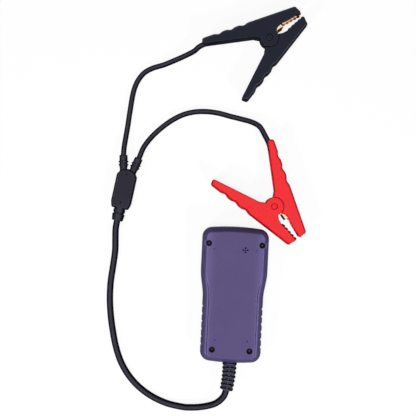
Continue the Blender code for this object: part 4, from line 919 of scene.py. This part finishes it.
def make_reliefs():
    ends = [SPLITTER_PLACE @ main_port(reach) for reach in (0, RELIEF_MAIN_LENGTH)]
    corners = [(RELIEF_MAIN_START + share * RELIEF_MAIN_LENGTH, r) for share, r in RELIEF_MAIN]
    make_relief("relief_main", ends, corners, 0.3, CORD_R + 0.2)
    inside, body, ring, tip = RELIEF_LEAD_R
    for name, side in (("relief_black", -1), ("relief_red", 1)):
        corners = [(0.3, inside), (5.4, inside), (6.2, body)]
        for share in RELIEF_RINGS:
            low = share * RELIEF_LEAD_LENGTH
            corners += [(low, body), (low, ring), (low + RELIEF_RING, ring), (low + RELIEF_RING, body)]
        corners += [(RELIEF_LEAD_LENGTH - 0.5, body), (RELIEF_LEAD_LENGTH, tip)]
        ends = [SPLITTER_PLACE @ lead_port(side, reach) for reach in (0, RELIEF_LEAD_LENGTH)]
        make_relief(name, ends, corners, 0.25, LEAD_R + 0.2)


# Clamps

TIP = Vector((TIP_T, TIP_OUTER_N))
HEEL = Vector(HEEL_OUTER)
ALONG = (HEEL - TIP).normalized()
INWARD = Vector((-ALONG.y, ALONG.x))


def outer_edge(inset):
    shares = [0.0, 0.25]
    for centre in FINGER_TS:
        for k in range(13):
            shares.append((centre + (1 - k / 6) * FINGER_HALF - TIP_T) / (HEEL_OUTER[0] - TIP_T))
    shares.append(1.0)
    points = [TIP.lerp(HEEL, share) for share in shares]
    return [p + INWARD * (inset + dip(p.x, FINGER_TS, FINGER_HALF, FINGER_DEPTH)) for p in points]


def lever_outline():
    edge = outer_edge(0)
    corners = [(TIP_T, TIP_INNER_N, HEEL_ROUND * 0.55), (edge[0].x, edge[0].y, HEEL_ROUND * 1.15)]
    corners += [(p.x, p.y, 0) for p in edge[1:-1]]
    corners += [(edge[-1].x, edge[-1].y, HEEL_ROUND * 1.15), (*HEEL_INNER, HEEL_ROUND), (*NECK, 1.5)]
    corners += [(x, y, 0) for x, y in arc((0, 0), EAR_R, *EAR_ARC, 36)]
    third = (TIP_T - THROAT[0]) / 3
    drop = (THROAT[1] - TIP_INNER_N) * 0.55
    corners += [(THROAT[0] - third * 0.7, THROAT[1] * 0.85, 0.8), (*THROAT, 2.0),
                (THROAT[0] + third, THROAT[1] - drop, 4.0)]
    return softened(corners)


def edge_size(point):
    """Rounding of a lever's edge, widest along its outer side."""
    share = ease(((Vector(point) - TIP).dot(INWARD) - 2.5) / 4)
    return [flare + (edge - flare) * share for edge, flare in zip(CLAMP_EDGE, CLAMP_FLARE)]


def pocket_outline(inset, low_t, high_t):
    far = 2 * EAR_R
    edge = outer_edge(inset)
    line = [edge[0] + (edge[0] - edge[1])] + edge
    points = []
    for a, b in zip(line, line[1:]):
        for limit in (high_t, low_t):
            if b.x < limit < a.x:
                points.append(tuple(a.lerp(b, (a.x - limit) / (a.x - b.x))))
        if low_t < b.x < high_t:
            points.append((b.x, b.y))
    low_n = HEEL_INNER[1] * 0.4 if low_t < NECK[0] * 2 else -far
    points.append((points[-1][0], low_n))
    if low_n > 0:
        points.append((NECK[0], -far))
    points.append((points[0][0], -far))
    return points


LEVER_EDGE = [(1.0, 0.0), (0.93, 0.005), (0.83, 0.02), (0.71, 0.041), (0.6, 0.068), (0.51, 0.107),
              (0.45, 0.17), (0.07, 0.84), (0.014, 0.93), (0.0, 1.0)]


def lever(name, colour, side, ears_outside, material, body):
    """A hollow lever, whose ears lie outside those of the other lever or between them."""
    outline = lever_outline()
    sizes = [edge_size(point) for point in outline]
    loops = []
    for inset, drop in LEVER_EDGE:
        moved = drawn_in(outline, [inset * width for width, height in sizes])
        loops.append([(x, y, drop * height) for (x, y), (width, height) in zip(moved, sizes)])
    loops += [[(x, y, CLAMP_THICK - z) for x, y, z in loop] for loop in loops[::-1]]
    heel_t, tip_t = HEEL_OUTER[0] + CLAMP_BACK, TIP_T + CLAMP_BACK
    ear = CLAMP_PLATE + CLEAR
    cheek_t = EAR_R + CHEEK
    ranges = [(heel_t, tip_t)] if ears_outside else [(heel_t, -cheek_t), (cheek_t, tip_t)]
    cuts = [prism(pocket_outline(CLAMP_BACK, *ends), CLAMP_PLATE, CLAMP_THICK - CLAMP_PLATE)
            for ends in ranges]
    if not ears_outside:
        between = pocket_outline(CLAMP_BACK + CLEAR, -cheek_t - CLEAR, cheek_t + CLEAR)
        cuts.insert(0, prism(between, ear + CLAMP_PLATE, CLAMP_THICK - ear - CLAMP_PLATE))
        recess = bmesh.new()
        for low, high in ((-CUT, ear), (CLAMP_THICK - ear, CLAMP_THICK + CUT)):
            prism(circle((0, 0), EAR_R + 0.5, 64), low, high, recess)
        cuts.append(recess)
    ring = [(PIN_RING_R, -CUT), (PIN_RING_R, PIN_RING_DEPTH), (PIN_HEAD_R, PIN_RING_DEPTH)]
    cuts.append(turned((0, 0), ring + [(r, CLAMP_THICK - z) for r, z in ring[::-1]]))
    heel_n = HEEL_INNER[1]
    cuts.append(box((HEEL_INNER[0] * 1.1, heel_n * 0.8), (heel_t * 0.96, heel_n + 2.9), *LEAD_SLOT))
    made = cut_by(loft(loops), *cuts)
    piece(name + "_shell", made, [material], [name], 35, clamp_place(colour, side), body)


def make_jaw(colour, side, body, reach, material):
    """A toothed channel of copper, with a bent contact tab by the pin on the cord's side, else darkened as
    painted shade.
    """
    low, high = CLAMP_PLATE + CLEAR, CLAMP_THICK - CLAMP_PLATE - CLEAR
    (start, tab, notch), end = JAW_TABS, TIP_T - CLEAR
    outline = [(end, JAW_BACK), (start, JAW_BACK)]
    if side > 0:
        outline += [(start, TAB_FLAT), (tab, TAB_FLAT), (tab, JAW_SIDE)]
    else:
        outline.append((start, JAW_SIDE))
    outline.append((notch, JAW_SIDE))
    pitch = (end - notch) / JAW_TEETH
    for number in range(JAW_TEETH):
        root = JAW_ROOT[0] - JAW_ROOT[1] * number - reach
        at = notch + pitch * number
        outline += [(at, root), (at + pitch * 0.55, root - JAW_TOOTH), (at + pitch * 0.85, root - JAW_TOOTH)]
    outline.append((end, root - JAW_ROOT[1]))
    hollow = box((start - 2, -EAR_R), (end + 2, JAW_BACK - JAW_PLATE), low + JAW_PLATE, high - JAW_PLATE)
    changes = [("DIFFERENCE", hollow)]
    for face, sign in ((high, -1), (low, 1)) if side > 0 else ():
        flange = loft([[(t, n, face + sign * z) for n, z in TAB_BEND] for t in (start, tab)])
        changes.append(("UNION", flange))
    mesh = carved(prism(outline, low, high), *changes)
    place = clamp_place(colour, side)
    # The free jaw is darkened throughout as painted shade
    if side < 0:
        piece(colour + "_free_jaw_plate", mesh, [SHADED_COPPER], [colour + "_free_jaw"], 35, place, body)
        return
    lit_t, shaded_t = tab + 0.1, end - JAW_SHADED_TIP
    for at in (lit_t, shaded_t):
        geometry = list(mesh.verts) + list(mesh.edges) + list(mesh.faces)
        bmesh.ops.bisect_plane(mesh, geom=geometry, plane_co=(at, 0, 0), plane_no=(1, 0, 0))
    for face in mesh.faces:
        middle = face.calc_center_median()
        # Painted shade on the tooth tips and the tab's side
        if middle.x > shaded_t or middle.y < TAB_FLAT - 0.1 and middle.x < lit_t:
            face.material_index = 2
        # Painted highlight on the rest of the contact tab
        elif middle.x < lit_t:
            face.material_index = 1
    piece(colour + "_cord_jaw_plate", mesh, [COPPER, LIT_COPPER, SHADED_COPPER],
          [colour + "_cord_jaw"], 35, place, body)
    rib = box((tab + 0.15, 2.5), (notch - 0.15, 4.9), high - 0.9, CLAMP_THICK - CLAMP_PLATE - 0.02)
    piece(colour + "_jaw_rib", rib, [material], place=place, body=body)


def spring_points():
    low = 2 * CLAMP_PLATE + 2 * CLEAR + SPRING_WIRE_R
    high = CLAMP_THICK - low
    share = (SPRING_LEG_T - HEEL_OUTER[0]) / (TIP_T - HEEL_OUTER[0])
    leg_n = (HEEL_OUTER[1] + (TIP_OUTER_N - HEEL_OUTER[1]) * share - FINGER_DEPTH - CLAMP_BACK
             - SPRING_WIRE_R - 2 * CLEAR)
    tangent = math.atan2(leg_n, SPRING_LEG_T) - math.acos(SPRING_R / math.hypot(SPRING_LEG_T, leg_n))
    stop = 2 * math.pi * SPRING_TURNS - tangent
    coil = [Vector((x, y, low + (high - low) * i / SPRING_STEPS)) for i, (x, y) in
            enumerate(arc((0, 0), SPRING_R, tangent, stop, SPRING_STEPS))]
    return [Vector((SPRING_LEG_T, leg_n, low))] + coil + [Vector((SPRING_LEG_T, -leg_n, high))]


PIN_PROFILE = [(PIN_R, CLAMP_THICK / 2), (PIN_R, 16.7), (PIN_HEAD_R, 16.7), (PIN_HEAD_R, 17.4),
               (2.45, 17.68), (2.2, 17.8), (1.6, 17.8), (1.4, 17.6), (0.7, 17.55)]


def make_clamp(colour, cord_ears_outside, material, cord_body, free_body):
    lever(colour + "_cord_lever", colour, 1, cord_ears_outside, material, cord_body)
    lever(colour + "_free_lever", colour, -1, not cord_ears_outside, material, free_body)
    for side, body, reach in zip((1, -1), (cord_body, free_body), JAW_REACH[colour]):
        make_jaw(colour, side, body, reach, material)
    place = clamp_place(colour, 1)
    profile = [(r, CLAMP_THICK - z) for r, z in PIN_PROFILE[:0:-1]] + PIN_PROFILE
    piece(colour + "_pin", turned((0, 0), profile, 40), [material],
          [colour + "_pivot_pin"], 35, place)
    moving = free_body if free_body != "tester" else cord_body
    spring = piece(colour + "_spring_wire", tube(spring_points(), SPRING_WIRE_R, 12), [STEEL],
                   [colour + "_spring"], 60, place, riding=False)
    spring.modifiers.clear()
    ends = [place @ Vector((0, 0, z)) * MM for z in SPRING_ENDS]
    if moving == cord_body:
        ends.reverse()
    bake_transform(spring)


# Pieces that stay as they are and only take a finish

CARRIED = [
    (LENS, ["display_lens"]), (GREY_GLASS, ["lcd_panel"]), (OVERLAY, ["keypad_overlay"]),
    (LAMINATE, ["main_board"]), (CERAMIC, ["load_resistor_1", "load_resistor_2"]),
    (MOULDED, ["lcd_frame", "processor", "capacitor", "buzzer", "terminal_block", "switch_up", "switch_down",
               "switch_back", "switch_enter"]),
    (STEEL, ["board_screw_1", "board_screw_2"]), (TIN, ["black_lug", "red_lug"]),
    (JACKET, ["wire_black", "core_black"]), (RED_JACKET, ["wire_red", "core_red"]),
]


def dress_nodes():
    for material, names in CARRIED:
        for name in names:
            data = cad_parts[name].data
            data.materials.clear()
            data.materials.append(material)


# Floor and light

WHITE = [1.0, 1.0, 1.0]
FLOOR_COLOUR = [0.2, 0.2, 0.2]
FLOOR_LIFT = 0.82  # plain white added for what the camera and mirrors see
FLOOR_R = (6.0, 0.5)  # metres, as are the floor's height and the lamps' places
FLOOR_Z = -0.0002
SKY_LIGHT = 0.04
LAMPS = [("overhead", (-0.1, 0.0, 1.6), 0.7, 17.5), ("left_key", (-0.75, -0.75, 0.85), 0.14, 3.8),
         ("right_key", (0.65, -0.75, 0.85), 0.14, 3.8)]
LAMP_AIM = Vector((-0.02, 0.06, 0.0))


def seen_directly(tree):
    """1 for what the camera, a reflection or clear plastic shows, 0 for light on the object."""
    path = tree.nodes.new("ShaderNodeLightPath")
    total = path.outputs["Is Camera Ray"]
    for ray in ("Is Glossy Ray", "Is Transmission Ray"):
        total = computed(tree, "MAXIMUM", total, path.outputs[ray])
    return total


def make_stage():
    world = bpy.data.worlds.new("studio")
    world.use_nodes = True
    tree = world.node_tree
    strength = ranged(tree, seen_directly(tree), 0.0, 1.0, SKY_LIGHT, 1.0)
    feed(tree, tree.nodes["Background"], {"Color": WHITE, "Strength": strength})
    bpy.context.scene.world = world

    made, tree, shader = new_material("floor")
    lift = computed(tree, "MULTIPLY", seen_directly(tree), FLOOR_LIFT)
    feed(tree, shader, {"Base Color": FLOOR_COLOUR, "Roughness": 0.9, "Specular IOR Level": 0.0,
                        "Emission Color": WHITE, "Emission Strength": lift})
    mesh = loft([raised(circle((0, 0), r, 48), FLOOR_Z) for r in FLOOR_R], capped=False)
    mesh.faces.new([v for v in mesh.verts if v.co.length < 1.0])
    solid("floor", mesh, made)

    for name, at, size, power in LAMPS:
        lamp_data = bpy.data.lights.new(name, "AREA")
        lamp_data.size = size
        lamp_data.energy = power
        lamp = placed(name, lamp_data)
        lamp.location = at
        lamp.visible_glossy = name != "overhead"
        lamp.rotation_euler = (LAMP_AIM - Vector(at)).to_track_quat("-Z", "Y").to_euler()


main_cord, leads = make_cords()
make_rear()
make_front()
make_screws()
make_keys()
make_boot()
make_splitter()
make_reliefs()
make_clamp("black", True, BLACK_PLASTIC, "tester", "black_free_side")
make_clamp("red", False, RED_PLASTIC, "red_cord_side", "tester")
dress_nodes()
make_stage()

bpy.context.scene.view_settings.view_transform = "Standard"
